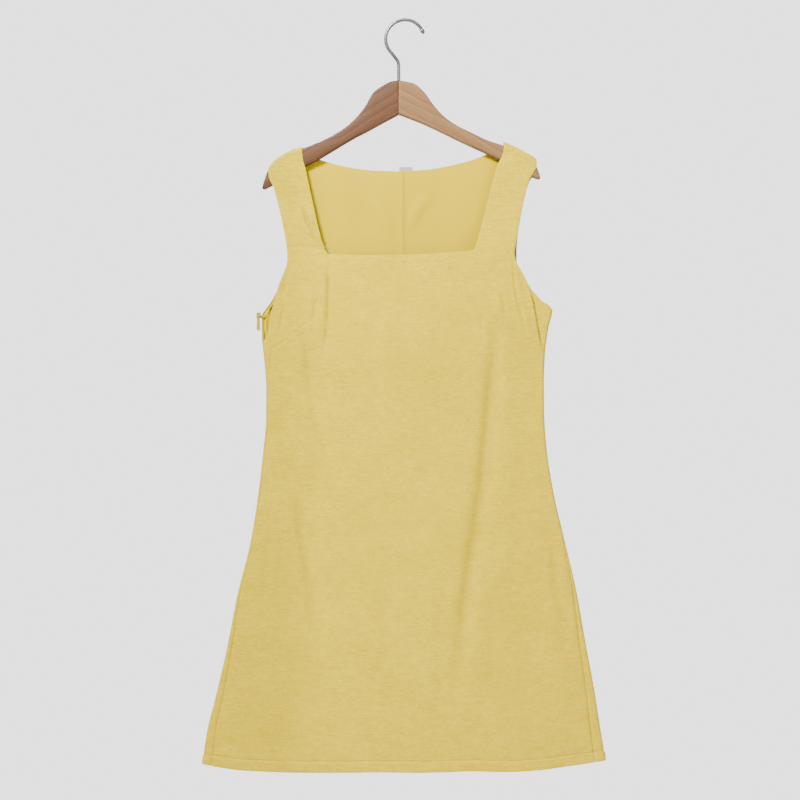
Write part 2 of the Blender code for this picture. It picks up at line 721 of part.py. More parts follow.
def board_section(top, foot, half):
    """y and z of a board's cross-section, a rectangle with round corners."""
    radius = min(BOARD_CORNER, 0.45 * (top - foot), 0.7 * half)
    made = []
    for turn, y, z in ((0, half, top), (1, -half, top), (2, -half, foot), (3, half, foot)):
        centre_y = y - math.copysign(radius, y)
        centre_z = z - radius if turn < 2 else z + radius
        for step in range(BOARD_CORNER_CELLS + 1):
            angle = math.pi / 2 * (turn + step / BOARD_CORNER_CELLS)
            made.append((centre_y + radius * math.cos(angle), centre_z + radius * math.sin(angle)))
    return made


def make_board(side, finish):
    """One half of the hanger, through upright sections from the joint to the tip."""
    columns = BOARDS[side]
    mesh = bmesh.new()
    rings = []
    for out, top, foot, half in zip(*[columns[name] for name in ("at", "top", "foot", "half")]):
        rings.append([mesh.verts.new((side * out, y, z)) for y, z in board_section(top, foot, half)])
    for ring, after in zip(rings, rings[1:]):
        for place in range(len(ring)):
            later = (place + 1) % len(ring)
            mesh.faces.new([ring[place], ring[later], after[later], after[place]])
    mesh.faces.new(rings[0])
    mesh.faces.new(rings[-1])
    name = "hanger_arm_" + side_name(side)
    made = add(name, mesh, finish)
    length = 0.08
    bore = (STEM_X, 0.0, BORE_FOOT + length / 2)
    boolean(made, "DIFFERENCE", cylinder(name + "_bore", bore, "Z", BORE_RADIUS, length, finish))


def make_hook():
    """Wire hook: a round bend open on one side, a neck and a stem that stands in the boards' bore."""
    radius = HOOK_INSIDE + WIRE_RADIUS
    angles = np.radians(np.linspace(HOOK_TIP_DEG, HOOK_END_DEG, 27))
    points = [(radius * math.cos(a), 0.0, radius * math.sin(a) - HOOK_INSIDE) for a in angles]
    points += [(-0.0180, 0.0, -0.0452), (-0.0145, 0.0, -0.0497), (-0.0112, 0.0, -0.0540)]
    points += [(-0.0093, 0.0, -0.0582), (STEM_X, 0.0, -0.0630), (STEM_X, 0.0, STEM_FOOT)]
    made = rod("hanger_hook", points, WIRE_RADIUS, "steel", 2, end_swell=1.25)
    for polygon_spline in made.data.splines:
        polygon_spline.use_smooth = True


# Zip


def make_coil():
    """The zip's coil, inside the left fold just behind the seam."""
    points = []
    for step in range(13):
        z = blend(COIL_TOP, COIL_FOOT, step / 12)
        height = z + read(LEVELS, "slope", z) * half_width(-1, z)
        centre = half_width(-1, height) - FOLD_RADIUS
        reach = FOLD_RADIUS - COIL_INSET
        turn = read(LEVELS, "seam_left", height) / FOLD_RADIUS
        points.append((-centre - reach * math.cos(turn), -reach * math.sin(turn), z))
    rod("zip_coil", points, COIL_RADIUS, "zip_tape", 1)


def make_slider():
    """The slider: a nose outside the cloth, a block inside it, a bridge through the slit, two ears and a pin."""
    low, high = SLIDER_FOOT, NOSE_TOP
    nose = box("zip_slider", (NOSE_X[0], -SLIDER_HALF, low), (NOSE_X[1], SLIDER_HALF, high), "zip_lacquer")
    block = ((BLOCK_X[0], -SLIDER_HALF, low), (BLOCK_X[1], SLIDER_HALF, BLOCK_TOP))
    bridge = ((NOSE_X[1] - EAR, -BRIDGE_HALF, low), (BLOCK_X[0] + EAR, BRIDGE_HALF, BLOCK_TOP))
    added = [box("slider_block", *block, "zip_lacquer"), box("slider_bridge", *bridge, "zip_lacquer")]
    for place, start in enumerate((NOSE_X[0], NOSE_X[1] - EAR)):
        ear = ((start, EAR_FRONT, EAR_Z[0]), (start + EAR, -SLIDER_HALF / 2, EAR_Z[1]))
        added.append(box(f"slider_ear_{place}", *ear, "zip_lacquer"))
    middle = (sum(NOSE_X) / 2, PIN_Y, PIN_Z)
    length = NOSE_X[1] - NOSE_X[0] - EAR
    added.append(cylinder("slider_pin", middle, "X", PIN_RADIUS, length, "zip_lacquer", sides=12))
    for other in added:
        boolean(nose, "UNION", other)


def make_pull():
    """The pull tab, hanging from the slider's pin, with its origin on the pin."""
    inner = NOSE_X[1] - NOSE_X[0] - 2 * EAR - 2 * SEAM_GAP
    mesh = bmesh.new()
    neck = inner / 2
    outline = [(-neck, 0.0), (-neck, -PULL_SHOULDER), (-PULL_TOP_HALF, -PULL_SHOULDER)]
    waist = PULL_LENGTH - PULL_WIDTH / 2
    outline += [(-PULL_TOP_HALF, -PULL_SHOULDER - PULL_TAPER), (-PULL_WIDTH / 2, -waist)]
    for step in range(1, 8):
        angle = math.pi * step / 8
        outline.append((-PULL_WIDTH / 2 * math.cos(angle), -waist - PULL_WIDTH / 2 * math.sin(angle)))
    outline += [(PULL_WIDTH / 2, -waist), (PULL_TOP_HALF, -PULL_SHOULDER - PULL_TAPER)]
    outline += [(PULL_TOP_HALF, -PULL_SHOULDER), (neck, -PULL_SHOULDER), (neck, 0.0)]
    base = mesh.faces.new([mesh.verts.new((x, -PULL_THICKNESS / 2, z)) for x, z in outline])
    lifted = bmesh.ops.extrude_face_region(mesh, geom=[base])["geom"]
    moved = [item for item in lifted if isinstance(item, bmesh.types.BMVert)]
    bmesh.ops.translate(mesh, verts=moved, vec=(0, PULL_THICKNESS, 0))
    pull = add("zip_pull", mesh, "zip_lacquer")
    barrel = cylinder("pull_barrel", (0, 0, 0), "X", BARREL_RADIUS, inner, "zip_lacquer")
    hole = cylinder("pull_hole", (0, 0, 0), "X", BARREL_HOLE, 2 * inner, "zip_lacquer", sides=12)
    boolean(pull, "UNION", barrel)
    boolean(pull, "DIFFERENCE", hole)
    for piece in (pull, barrel, hole):
        piece.location = (sum(NOSE_X) / 2, PIN_Y, PIN_Z)


def make_label():
    """The blank woven label that stands behind the back neck."""
    half = (LABEL_WIDTH / 2, LABEL_THICKNESS / 2, LABEL_HEIGHT / 2)
    label = box("neck_label", [-size for size in half], half, "label")
    label.location = LABEL_CENTRE
    label.rotation_euler = (0, math.radians(-LABEL_TILT_DEG), 0)


def main():
    for old in list(bpy.data.objects):
        bpy.data.objects.remove(old)
    make_front()
    for side in (-1, 1):
        make_back(side)
    make_board(-1, "wood_dark")
    make_board(1, "wood_light")
    make_hook()
    make_coil()
    make_slider()
    make_pull()
    make_label()


main()
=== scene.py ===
"""The linen mini dress on its wooden hanger, dressed with cloth, wood, wire, light and camera.

Metres, +Z up, the dress faces -Y. The origin is the top of the hook's inside.
"""

import math

import bmesh
import bpy
import mathutils
import numpy as np
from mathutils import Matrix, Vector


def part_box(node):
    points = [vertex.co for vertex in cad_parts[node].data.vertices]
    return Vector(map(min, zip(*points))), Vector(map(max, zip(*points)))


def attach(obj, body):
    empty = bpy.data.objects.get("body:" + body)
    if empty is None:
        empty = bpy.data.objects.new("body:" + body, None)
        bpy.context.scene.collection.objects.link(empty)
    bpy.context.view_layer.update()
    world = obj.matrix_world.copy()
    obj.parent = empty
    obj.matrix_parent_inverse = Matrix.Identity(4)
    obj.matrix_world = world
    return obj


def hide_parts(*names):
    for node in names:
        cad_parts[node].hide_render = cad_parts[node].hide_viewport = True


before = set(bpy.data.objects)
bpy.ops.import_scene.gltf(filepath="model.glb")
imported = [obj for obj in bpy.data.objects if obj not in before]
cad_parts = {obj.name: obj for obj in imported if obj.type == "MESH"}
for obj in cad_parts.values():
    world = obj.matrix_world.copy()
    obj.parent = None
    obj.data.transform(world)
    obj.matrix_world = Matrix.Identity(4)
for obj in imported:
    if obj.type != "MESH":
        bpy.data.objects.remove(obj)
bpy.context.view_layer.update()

# Cloth
CLOTH = 0.0012
LINING = 0.0010
SEAM_GAP = 0.0003
FOLD_RADIUS = 0.0050
QUARTER_FOLD = FOLD_RADIUS * math.pi / 2
HEM_HEIGHT = -1.0481
HEM_TURN = 0.0150
ARM_HEIGHT = -0.4071
NECK_HEIGHT = -0.3237
NECK_SAG = 0.0038
BACK_SEAM_X = -0.0028
ZIP_SLIT = 0.0014
NORMAL_STEP = 0.0002
MIDDLE_GAP = 0.00003

# Rolled edges, the seam line of the back, the hem's turned band and the lining's lie under the back
EDGE_ROLL = 0.0006
EDGE_ROLL_WIDTH = 0.0016
SIDE_SEAM_ROLL = (0.25, 2.0)
SEAM_ROLL_FORWARD = 0.010
ZIP_ROLL = 1.2
OVER_HANGER_ROLL = 0.3
BACK_SEAM_DEPTH = 0.0005
BACK_SEAM_WIDTH = 0.0015
BACK_SEAM_CALM = 0.012
HEM_LINE_DEPTH = 0.0010
HEM_LINE_WIDTH = 0.0013
HEM_BAND_LIFT = 0.0008
HEM_BAND_EDGE = 0.0022
LINING_PLAY = 0.0001
LINING_SLACK = 0.0004
LINING_SEAM_SLACK = 0.0002
LINING_FOLLOWS = 0.4
LINING_EASE = 0.0012
LINING_FOOT = 0.03
LINING_CALM = 0.02
LINING_EDGES = (0.010, 0.004)

# Cloth over the hanger's edge
FRONT_TURN = 0.0058
BACK_TURN = 0.0072
TOP_HALF = 0.0020
SHOULDER_SEAM_DROP = 0.0095
STEEPEST_COSINE = 0.80
SHOULDER_STEP = 0.002
STRAP_SETTLES = 0.8
ARMHOLE_SETTLES = 0.9

# The photo's frame: pixel of the origin and metres to a pixel
ORIGIN_PX = (405.0, 21.5)
METRES_PER_PX = 0.0014
PHOTO_MIDDLE_PX = 400.0


def table(columns, *rows):
    """Rows of numbers under named columns, in rising order of the first."""
    rows = sorted(rows)
    return {name: np.array([row[place] for row in rows]) for place, name in enumerate(columns.split())}


# The flattened tube of the dress at each height: half widths, depths, how far each side seam lies forward
LEVELS = table(
    "at left right front back seam_left seam_right flatness slope",
    (-1.0507, 0.2842, 0.2814, 0.0215, 0.0140, 0.0160, 0.0185, 0.0, 0.0000),
    (-1.0000, 0.2772, 0.2737, 0.0210, 0.0140, 0.0145, 0.0170, 0.0, 0.0010),
    (-0.9400, 0.2632, 0.2649, 0.0205, 0.0135, 0.0120, 0.0145, 0.0, 0.0025),
    (-0.8700, 0.2478, 0.2524, 0.0200, 0.0130, 0.0090, 0.0115, 0.0, 0.0045),
    (-0.8000, 0.2345, 0.2401, 0.0190, 0.0125, 0.0060, 0.0080, 0.0, 0.0068),
    (-0.7300, 0.2170, 0.2240, 0.0180, 0.0120, 0.0050, 0.0050, 0.0, 0.0090),
    (-0.6600, 0.2058, 0.2079, 0.0165, 0.0110, 0.0045, 0.0020, 0.0, 0.0112),
    (-0.6000, 0.1988, 0.1984, 0.0150, 0.0105, 0.0045, 0.0000, 0.0, 0.0131),
    (-0.5500, 0.1946, 0.1950, 0.0145, 0.0100, 0.0045, 0.0000, 0.0, 0.0146),
    (-0.5100, 0.1946, 0.1946, 0.0150, 0.0100, 0.0036, 0.0000, 0.0, 0.0158),
    (-0.4700, 0.1974, 0.1960, 0.0175, 0.0105, 0.0016, 0.0000, 0.0, 0.0170),
    (-0.4350, 0.2009, 0.2006, 0.0185, 0.0105, 0.0000, 0.0000, 0.0, 0.0181),
    (-0.4071, 0.2016, 0.2065, 0.0180, 0.0105, 0.0000, 0.0000, 0.0, 0.0189),
    (-0.3237, 0.2016, 0.2065, 0.0135, 0.0095, 0.0000, 0.0000, 0.7, 0.0242),
    (-0.2800, 0.2016, 0.2065, 0.0105, 0.0093, 0.0000, 0.0000, 0.9, 0.0242),
    (-0.2360, 0.2016, 0.2065, 0.0082, 0.0092, 0.0000, 0.0000, 1.0, 0.0242),
    (-0.1600, 0.2016, 0.2065, 0.0078, 0.0092, 0.0000, 0.0000, 1.0, 0.0242),
)

# Free edges, as distance out from the middle at each height
UNDERARM_RIGHT = (
    (-0.4032, 0.2065), (-0.3976, 0.2016), (-0.3906, 0.1904), (-0.3815, 0.1827), (-0.3752, 0.1764),
    (-0.3577, 0.1666),
)
FRONT_ARMHOLE = {
    -1: table(
        "at out",
        (-0.4109, 0.1877), (-0.4050, 0.1862), (-0.3983, 0.1844), (-0.3847, 0.1808),
        (-0.3711, 0.1767), (-0.3571, 0.1712), (-0.3431, 0.1658),
        (-0.3320, 0.1641), (-0.3213, 0.1646), (-0.3031, 0.1672), (-0.2835, 0.1709),
        (-0.2639, 0.1753), (-0.2443, 0.1803), (-0.2247, 0.1856), (-0.2079, 0.1903),
    ),
    1: table(
        "at out",
        *UNDERARM_RIGHT, (-0.3465, 0.1603), (-0.3367, 0.1551), (-0.3255, 0.1526),
        (-0.3129, 0.1543), (-0.3003, 0.1564), (-0.2835, 0.1593), (-0.2639, 0.1632),
        (-0.2443, 0.1680), (-0.2247, 0.1729), (-0.2051, 0.1788), (-0.1946, 0.1838),
    ),
}
BACK_ARMHOLE = {
    -1: table(
        "at out",
        (-0.4109, 0.2016), (-0.4070, 0.1988), (-0.4011, 0.1946), (-0.3931, 0.1887),
        (-0.3832, 0.1830), (-0.3711, 0.1767), (-0.3571, 0.1712), (-0.3390, 0.1652),
        (-0.3240, 0.1638), (-0.3000, 0.1645), (-0.2700, 0.1694), (-0.2400, 0.1778),
        (-0.2150, 0.1869), (-0.2079, 0.1908),
    ),
    1: table(
        "at out",
        *UNDERARM_RIGHT, (-0.3390, 0.1568), (-0.3240, 0.1568), (-0.3000, 0.1582),
        (-0.2700, 0.1631), (-0.2400, 0.1694), (-0.2150, 0.1778), (-0.1990, 0.1841),
    ),
}
STRAP_INNER = {
    -1: table(
        "at out",
        (-0.3261, 0.1078), (-0.3157, 0.1130), (-0.3031, 0.1177), (-0.2835, 0.1224),
        (-0.2639, 0.1267), (-0.2443, 0.1310), (-0.2247, 0.1352), (-0.2061, 0.1389),
        (-0.1757, 0.1436),
    ),
    1: table(
        "at out",
        (-0.3212, 0.0948), (-0.3129, 0.0991), (-0.3003, 0.1029), (-0.2835, 0.1074),
        (-0.2639, 0.1123), (-0.2443, 0.1173), (-0.2247, 0.1225), (-0.2051, 0.1282),
        (-0.1686, 0.1380),
    ),
}

# The top of the cloth where it lies on the hanger, from the neck to the arm
SHOULDER = {
    -1: table(
        "at top",
        (0.1436, -0.1757), (0.1582, -0.1799), (0.1736, -0.1883), (0.1848, -0.1967), (0.1908, -0.2044),
    ),
    1: table(
        "at top",
        (0.1380, -0.1686), (0.1498, -0.1737), (0.1624, -0.1799), (0.1778, -0.1883), (0.1841, -0.1929),
    ),
}
BACK_NECK = table(
    "at top",
    (-0.1436, -0.1859), (-0.1190, -0.1929), (-0.0980, -0.1993), (-0.0742, -0.2045), (-0.0420, -0.2081),
    (-0.0070, -0.2090), (0.0280, -0.2070), (0.0630, -0.2013), (0.0910, -0.1943), (0.1148, -0.1854),
    (0.1380, -0.1783),
)

# The hem's lower edge above its lowest level, across the width
HEM_RISE = table(
    "at rise",
    (-1.0, 0.0093), (-0.9, 0.0049), (-0.8, 0.0020), (-0.5, 0.0), (-0.3, 0.0004), (-0.1, 0.0010),
    (0.05, 0.0003), (0.2, 0.0011), (0.33, 0.0024), (0.5, 0.0010), (0.65, 0.0026), (0.8, 0.0074),
    (0.9, 0.0107), (1.0, 0.0144),
)
HEM_RISE_ENDS = -0.70

# How far the front's edge stands back from the left seam at each height, where the zip is open
ZIP_OPEN = table("at back", (-0.4480, 0.0), (-0.4403, 0.0080), (-0.4277, 0.0130), (-0.4071, 0.0166))

# The front's two long soft troughs, one from below each bust dart: where each runs and how deep it is
TROUGHS = {
    -1: table(
        "at out depth",
        (-1.0507, 0.1120, 0.0), (-0.9000, 0.1220, 0.0), (-0.8659, 0.1246, 0.0010),
        (-0.8000, 0.1310, 0.0030), (-0.7427, 0.1386, 0.0034), (-0.6800, 0.1500, 0.0028),
        (-0.6167, 0.1620, 0.0012),
        (-0.5600, 0.1560, 0.0), (-0.5000, 0.1450, 0.0), (-0.4071, 0.1320, 0.0), (-0.3261, 0.1078, 0.0),
    ),
    1: table(
        "at out depth",
        (-1.0507, 0.0620, 0.0), (-0.9900, 0.0650, 0.0), (-0.9220, 0.0714, 0.0012),
        (-0.8200, 0.0830, 0.0026), (-0.7300, 0.0960, 0.0034), (-0.6420, 0.1078, 0.0036),
        (-0.5200, 0.1190, 0.0030),
        (-0.4400, 0.1250, 0.0012), (-0.4071, 0.1260, 0.0), (-0.3212, 0.0948, 0.0),
    ),
}
TROUGH_WIDTH = 0.008

# Rows and columns of the cloth's fine grids
HEM_BAND = 0.018
HEM_CELLS = 18
SKIRT_TOP = 0.40
SKIRT_CELLS = 58
BODICE_CELLS = 92
ARM_CELLS = 36
ARM_CROWDING = 1.15
STRAP_CELLS = 50
TURN_CELLS = 6
FRONT_SIDE_CELLS = 56
FRONT_MIDDLE_CELLS = 76
EDGE_CROWDING = 1.6
BACK_UPPER_CELLS = 84
BACK_CROWDING = 1.2
BACK_FOLD_CELLS = 14
BACK_SIDE_CELLS = 34
BACK_MIDDLE_CELLS = 36
BACK_TRACK = 0.75
NECK_TRACK = 0.55
LINING_STEP = 2
LINING_START = 8
BODY_HEIGHTS = HEM_HEIGHT + np.concatenate([
    np.linspace(0.0, HEM_BAND, HEM_CELLS + 1),
    np.linspace(HEM_BAND, SKIRT_TOP, SKIRT_CELLS + 1)[1:],
    np.linspace(SKIRT_TOP, ARM_HEIGHT - HEM_HEIGHT, BODICE_CELLS + 1)[1:],
])
ARM_HEIGHTS = ARM_HEIGHT + (NECK_HEIGHT - ARM_HEIGHT) * np.linspace(0, 1, ARM_CELLS + 1)[1:] ** ARM_CROWDING
NECK_ROW = len(BODY_HEIGHTS) + len(ARM_HEIGHTS) - 1
STRAP_COLUMN = FRONT_SIDE_CELLS

# Hem stitches
STITCH_PITCH = 0.0034
STITCH_LENGTH = 0.0025
STITCH_RADIUS = 0.00022
STITCH_MARGIN = 0.004
STITCH_SIDES = 6
STITCH_LIFT = 0.4
STITCH_SHOULDERS = (0.25, 0.75)
STITCH_RISE = 0.0130
STITCH_ROW = int(np.searchsorted(BODY_HEIGHTS, HEM_HEIGHT + STITCH_RISE))

# Creases of the front, on the photo: kind, width, depth, then the line's pixels
FRONT_CREASES = (
    ("valley", 0.0017, 0.0037, ((329.5, 258), (329, 290), (328, 315), (326.5, 338), (324.5, 362))),
    ("valley", 0.0020, 0.0025, ((318, 297), (316, 309), (314.5, 324))),
    ("trough", 0.0045, 0.0020, ((302, 328), (306, 344), (309, 364))),
    ("trough", 0.0018, 0.0026, ((300, 230), (314, 240), (326, 250), (334, 257))),
    ("hollow", 0.0085, 0.0050, (
        (309.5, 330), (310.5, 348), (310, 373), (314, 398), (318, 419), (325, 437), (330, 455),
        (337, 474), (340, 492),
    )),
    ("hollow", 0.0110, 0.0056, (
        (290, 446), (296, 467), (303, 490), (305, 521), (312, 552), (319, 592), (323, 637), (326, 668),
    )),
    ("trough", 0.0016, 0.0007, ((238, 596), (255, 594), (277, 597))),
    ("ridge", 0.0080, 0.0014, ((290, 360), (300, 410), (309, 450), (318, 480))),
    ("trough", 0.0060, 0.0016, ((269.7, 533), (268, 565), (266, 602))),
    ("trough", 0.0070, 0.0013, ((328, 541), (345, 570), (361, 596))),
    ("trough", 0.0060, 0.0018, ((552, 541), (557.5, 588), (564, 610), (570, 634))),
    ("trough", 0.0035, 0.0008, ((434.7, 416), (442, 427), (449, 438))),
    ("trough", 0.0030, 0.0010, ((480.5, 306), (481.5, 330), (482.7, 350))),
    ("valley", 0.0062, 0.0046, (
        (497, 306), (498, 350), (496, 400), (493, 440), (490, 477), (485, 505), (478, 550),
        (472, 590), (468, 630), (466, 705),
    )),
    ("trough", 0.0018, 0.0016, ((512, 256), (515, 290), (520, 310), (525.5, 334), (527.5, 343))),
    ("ridge", 0.0035, 0.0012, ((516, 266), (519.5, 292), (525, 312), (531, 337))),
    ("step", 0.0016, 0.0034, ((527, 281), (533, 303), (537, 325), (541, 344), (546, 357))),
    ("trough", 0.0028, 0.0010, ((501, 290), (504, 305), (507, 320))),
    ("trough", 0.0028, 0.0014, ((284.8, 304), (282, 322), (279, 338))),
    ("trough", 0.0025, 0.0012, ((272, 344), (271.5, 360), (271, 376))),
    ("dart", 0.0012, 0.0008, ((480, 310), (492, 317), (504, 326), (517, 334), (531, 343), (545, 354))),
    ("dart", 0.0012, 0.0008, ((267, 352), (285, 341), (300, 329), (316, 318))),
    ("trough", 0.0026, 0.0012, ((284, 250), (300, 247), (314, 248.5), (329, 252))),
    ("trough", 0.0024, 0.0034, ((301, 205), (308, 222), (316, 237), (326, 250), (333, 259))),
    ("trough", 0.0018, 0.0026, ((311, 218), (318, 233), (326, 247), (332, 257))),
    ("trough", 0.0040, 0.0010, ((289, 262), (286, 280), (284, 300))),
    ("trough", 0.0016, 0.0010, ((211, 746), (220, 745), (230, 744))),
    ("trough", 0.0050, 0.0018, ((221, 737), (229, 741), (235, 752))),
    ("trough", 0.0014, 0.0004, ((330, 262), (370, 263.5), (410, 263.5), (470, 260.5))),
    ("trough", 0.0090, 0.0011, ((375, 300), (372, 350), (378, 400))),
    ("trough", 0.0120, 0.0015, ((392, 560), (388, 620), (396, 690), (402, 742))),
    ("trough", 0.0100, 0.0013, ((520, 660), (528, 700), (533, 745))),
    ("trough", 0.0100, 0.0014, ((262, 650), (252, 700), (246, 742))),
    ("ridge", 0.0110, 0.0014, ((430, 560), (432, 620), (426, 700), (424, 750))),
    ("ridge", 0.0100, 0.0013, ((292, 600), (286, 660), (280, 730))),
    ("ridge", 0.0100, 0.0012, ((545, 600), (556, 660), (566, 730))),
    ("ridge", 0.0120, 0.0012, ((510, 420), (508, 480), (503, 540), (496, 610))),
)

# Creases of the back, in the same pixels, as if seen through the front
BACK_CREASES = (
    ("hollow", 0.0090, 0.0052, ((330, 330), (322, 420), (312, 520), (300, 640))),
    ("valley", 0.0060, 0.0050, ((470, 350), (478, 440), (492, 540), (512, 660))),
    ("hollow", 0.0080, 0.0030, ((372, 420), (368, 500), (352, 600), (348, 660))),
    ("ridge", 0.0100, 0.0014, ((430, 480), (440, 580), (452, 700))),
    ("trough", 0.0040, 0.0009, ((300, 262), (296, 300), (298, 338))),
    ("trough", 0.0040, 0.0010, ((506, 256), (512, 296), (508, 330))),
    ("trough", 0.0028, 0.0008, ((276, 300), (281, 325), (280, 352))),
    ("step", 0.0018, 0.0018, ((530, 296), (534, 318), (538, 344))),
    ("dart", 0.0016, 0.0010, ((352, 360), (350, 410), (351, 460), (354, 500))),
    ("dart", 0.0016, 0.0010, ((456, 358), (459, 410), (458, 460), (454, 500))),
    ("trough", 0.0110, 0.0013, ((392, 600), (384, 680), (380, 745))),
    ("trough", 0.0100, 0.0012, ((548, 640), (556, 700), (560, 745))),
    ("trough", 0.0100, 0.0012, ((256, 640), (244, 700), (238, 745))),
)

# Soft wrinkles of the lining
LINING_CREASES = (
    ("trough", 0.0090, 0.0010, ((345, 182), (352, 215), (350, 260))),
    ("trough", 0.0060, 0.0028, ((370, 194), (384, 214), (397, 238))),
    ("trough", 0.0060, 0.0028, ((430, 192), (416, 212), (404, 238))),
    ("trough", 0.0070, 0.0008, ((462, 185), (455, 220), (462, 258))),
    ("ridge", 0.0070, 0.0007, ((318, 196), (328, 226), (330, 255))),
    ("trough", 0.0016, 0.0028, (
        (277, 290), (273, 299), (270.5, 305), (266.5, 315), (265.5, 326), (265, 340),
    )),
)

# A valley falls gently from the left, this many times as wide as it rises, and a hollow the other way.
# Troughs and darts have a lip at each side: its height to the crease's depth, its place and its spread.
VALLEY_SPREAD = 2.1
CREASE_LIPS = {"trough": (0.25, 2.0, 0.9), "dart": (0.7, 3.0, 2.0)}
STEP_LIFT = 0.35
STEP_FADES = (3.0, 5.0)
CREASE_REACH = 0.03
CREASE_STEPS = 10
CREASE_FADES = (0.25, 0.3)

# The linen's unevenness: height, width and length of its lumps, on a repeating grid of random levels
RUMPLES = ((0.00045, 0.045, 0.110), (0.00022, 0.017, 0.030), (0.00009, 0.009, 0.007))
NOISE_CELLS = (96, 160)
NOISE_CORNER = (0.45, 1.15)
FRONT_SEED = 3
BACK_SEED = 11

# Hanger
HANGER_JOINT_X = -0.0088
WIRE_RADIUS = 0.0023
HOOK_INSIDE = 0.0247
HOOK_TIP_DEG = 16
HOOK_END_DEG = 215
HOOK_BEND = (
    (-0.0218, -0.0400), (-0.0180, -0.0452), (-0.0145, -0.0497), (-0.0112, -0.0540), (-0.0093, -0.0582),
    (HANGER_JOINT_X, -0.0630), (HANGER_JOINT_X, -0.0720),
)
HOOK_STEPS = (60, 5)
HOOK_TIP_SWELL = (0.55, 1.05, 1.25, 1.25, 1.1)
STEM_FOOT = -0.1045
BOARD_CORNER = 0.0040
BOARD_CORNER_SHARES = (0.45, 0.7)
JOINT_BEVEL = 0.0005
BOARDS = {
    -1: table(
        "at top foot half",
        (0.00895, -0.0825, -0.1311, 0.006), (0.0196, -0.0843, -0.1370, 0.006),
        (0.0336, -0.0914, -0.1444, 0.006), (0.0452, -0.1004, -0.1509, 0.006),
        (0.0567, -0.1201, -0.1571, 0.006), (0.0682, -0.1342, -0.1629, 0.006),
        (0.0826, -0.1475, -0.1712, 0.006), (0.1053, -0.1619, -0.1849, 0.006),
        (0.1253, -0.1711, -0.1965, 0.006), (0.1424, -0.1775, -0.2050, 0.006),
        (0.1582, -0.1821, -0.2142, 0.006), (0.1736, -0.1905, -0.2232, 0.006),
        (0.1848, -0.1989, -0.2297, 0.006), (0.1911, -0.2072, -0.2328, 0.006),
        (0.1960, -0.2191, -0.2351, 0.006), (0.1986, -0.2280, -0.2352, 0.0055),
        (0.1996, -0.2325, -0.2340, 0.0045),
    ),
    1: table(
        "at top foot half",
        (-0.00865, -0.0825, -0.1311, 0.006), (0.0119, -0.0869, -0.1388, 0.006),
        (0.0262, -0.0984, -0.1446, 0.006), (0.0405, -0.1178, -0.1512, 0.006),
        (0.0546, -0.1330, -0.1579, 0.006), (0.0690, -0.1436, -0.1651, 0.006),
        (0.0976, -0.1580, -0.1785, 0.006), (0.1148, -0.1662, -0.1864, 0.006),
        (0.1347, -0.1728, -0.1960, 0.006), (0.1498, -0.1777, -0.2041, 0.006),
        (0.1666, -0.1855, -0.2129, 0.006), (0.1764, -0.1918, -0.2179, 0.006),
        (0.1827, -0.2009, -0.2203, 0.006), (0.1873, -0.2114, -0.2214, 0.0055),
        (0.1893, -0.2184, -0.2199, 0.0045),
    ),
}
BOARD_STATIONS = 90
BOARD_CROWDING = 1.5
BOARD_CORNER_CELLS = 6

# Zip, its pull and the label
NOSE_X = (-0.2077, -0.2019)
BLOCK_X = (-0.1990, -0.1950)
SLIDER_FOOT = -0.4150
NOSE_TOP = -0.4075
BLOCK_TOP = -0.4116
SLIDER_HALF = 0.0024
BRIDGE_HALF = 0.0008
EAR = 0.0008
EAR_FRONT = -0.0062
EAR_Z = (-0.4148, -0.4112)
PIN = mathutils.Vector((sum(NOSE_X) / 2, -0.0045, -0.4130))
PIN_RADIUS = 0.0007
BARREL_RADIUS = 0.0016
BARREL_HOLE = 0.0010
BARREL_LENGTH = NOSE_X[1] - NOSE_X[0] - 2 * EAR - 2 * SEAM_GAP
ROUND_SIDES = 24
PULL_THICKNESS = 0.0011
PULL_WIDTH = 0.0052
PULL_SHOULDER = 0.0028
PULL_SHOULDER_HALF = 0.78 * PULL_WIDTH / 2
PULL_TAPER = 0.002
PULL_LENGTH = 0.0200
PULL_RIM = 0.00025
PULL_RIM_WIDTH = 2.4 * PULL_RIM
PULL_FOOT_STEPS = 16
METAL_BEVEL = 0.0003
PULL_BEVEL = METAL_BEVEL / 3
LABEL_CELLS = (12, 8)
LABEL_FOOT = 0.08
LABEL_EDGE = 0.35
LABEL_WAVE = 0.25

# Angles past which edges are sharp, in degrees
CLOTH_SHARP = 60
BOARD_SHARP = 50
METAL_SHARP = 35

# Looks: the span from left to right in which the painted shade darkening the left side ends, and the woods
# with their grain's slope
WHITE = (1.0, 1.0, 1.0)
PAINTED_LEFT_SHADE = (-0.175, -0.115)
WOODS = {
    -1: ("wood_dark", (0.0456, 0.0184, 0.0070), (0.0679, 0.0296, 0.0118), 31),
    1: ("wood_light", (0.1064, 0.0527, 0.0180), (0.1406, 0.0746, 0.0294), -28),
}

# Floor, surroundings from the room to the wall behind, lights with place, width and watts, and camera
FLOOR_RADIUS = 2.5
FLOOR_THICKNESS = 0.02
FLOOR_MIDDLE = -2.06
FLOOR_SHADE = (0.7605, 0.7605, 0.7605, 1.0)
ROOM_LEVEL = 1.2
WALL_LEVEL = 2.6
WALL_START = -0.3
WALL_FULL = 0.7
LIGHTS = (
    ("key", (-1.0, -1.85, 1.25), 0.7, 350),
    ("fill", (2.2, -2.2, 0.1), 2.0, 60),
    ("back_light", (-1.0, 1.9, 0.8), 1.2, 150),
)
LIGHT_TARGET = mathutils.Vector((0.0, 0.0, -0.6))
CAMERA_DISTANCE = 2.6
SENSOR_MM = 36.0


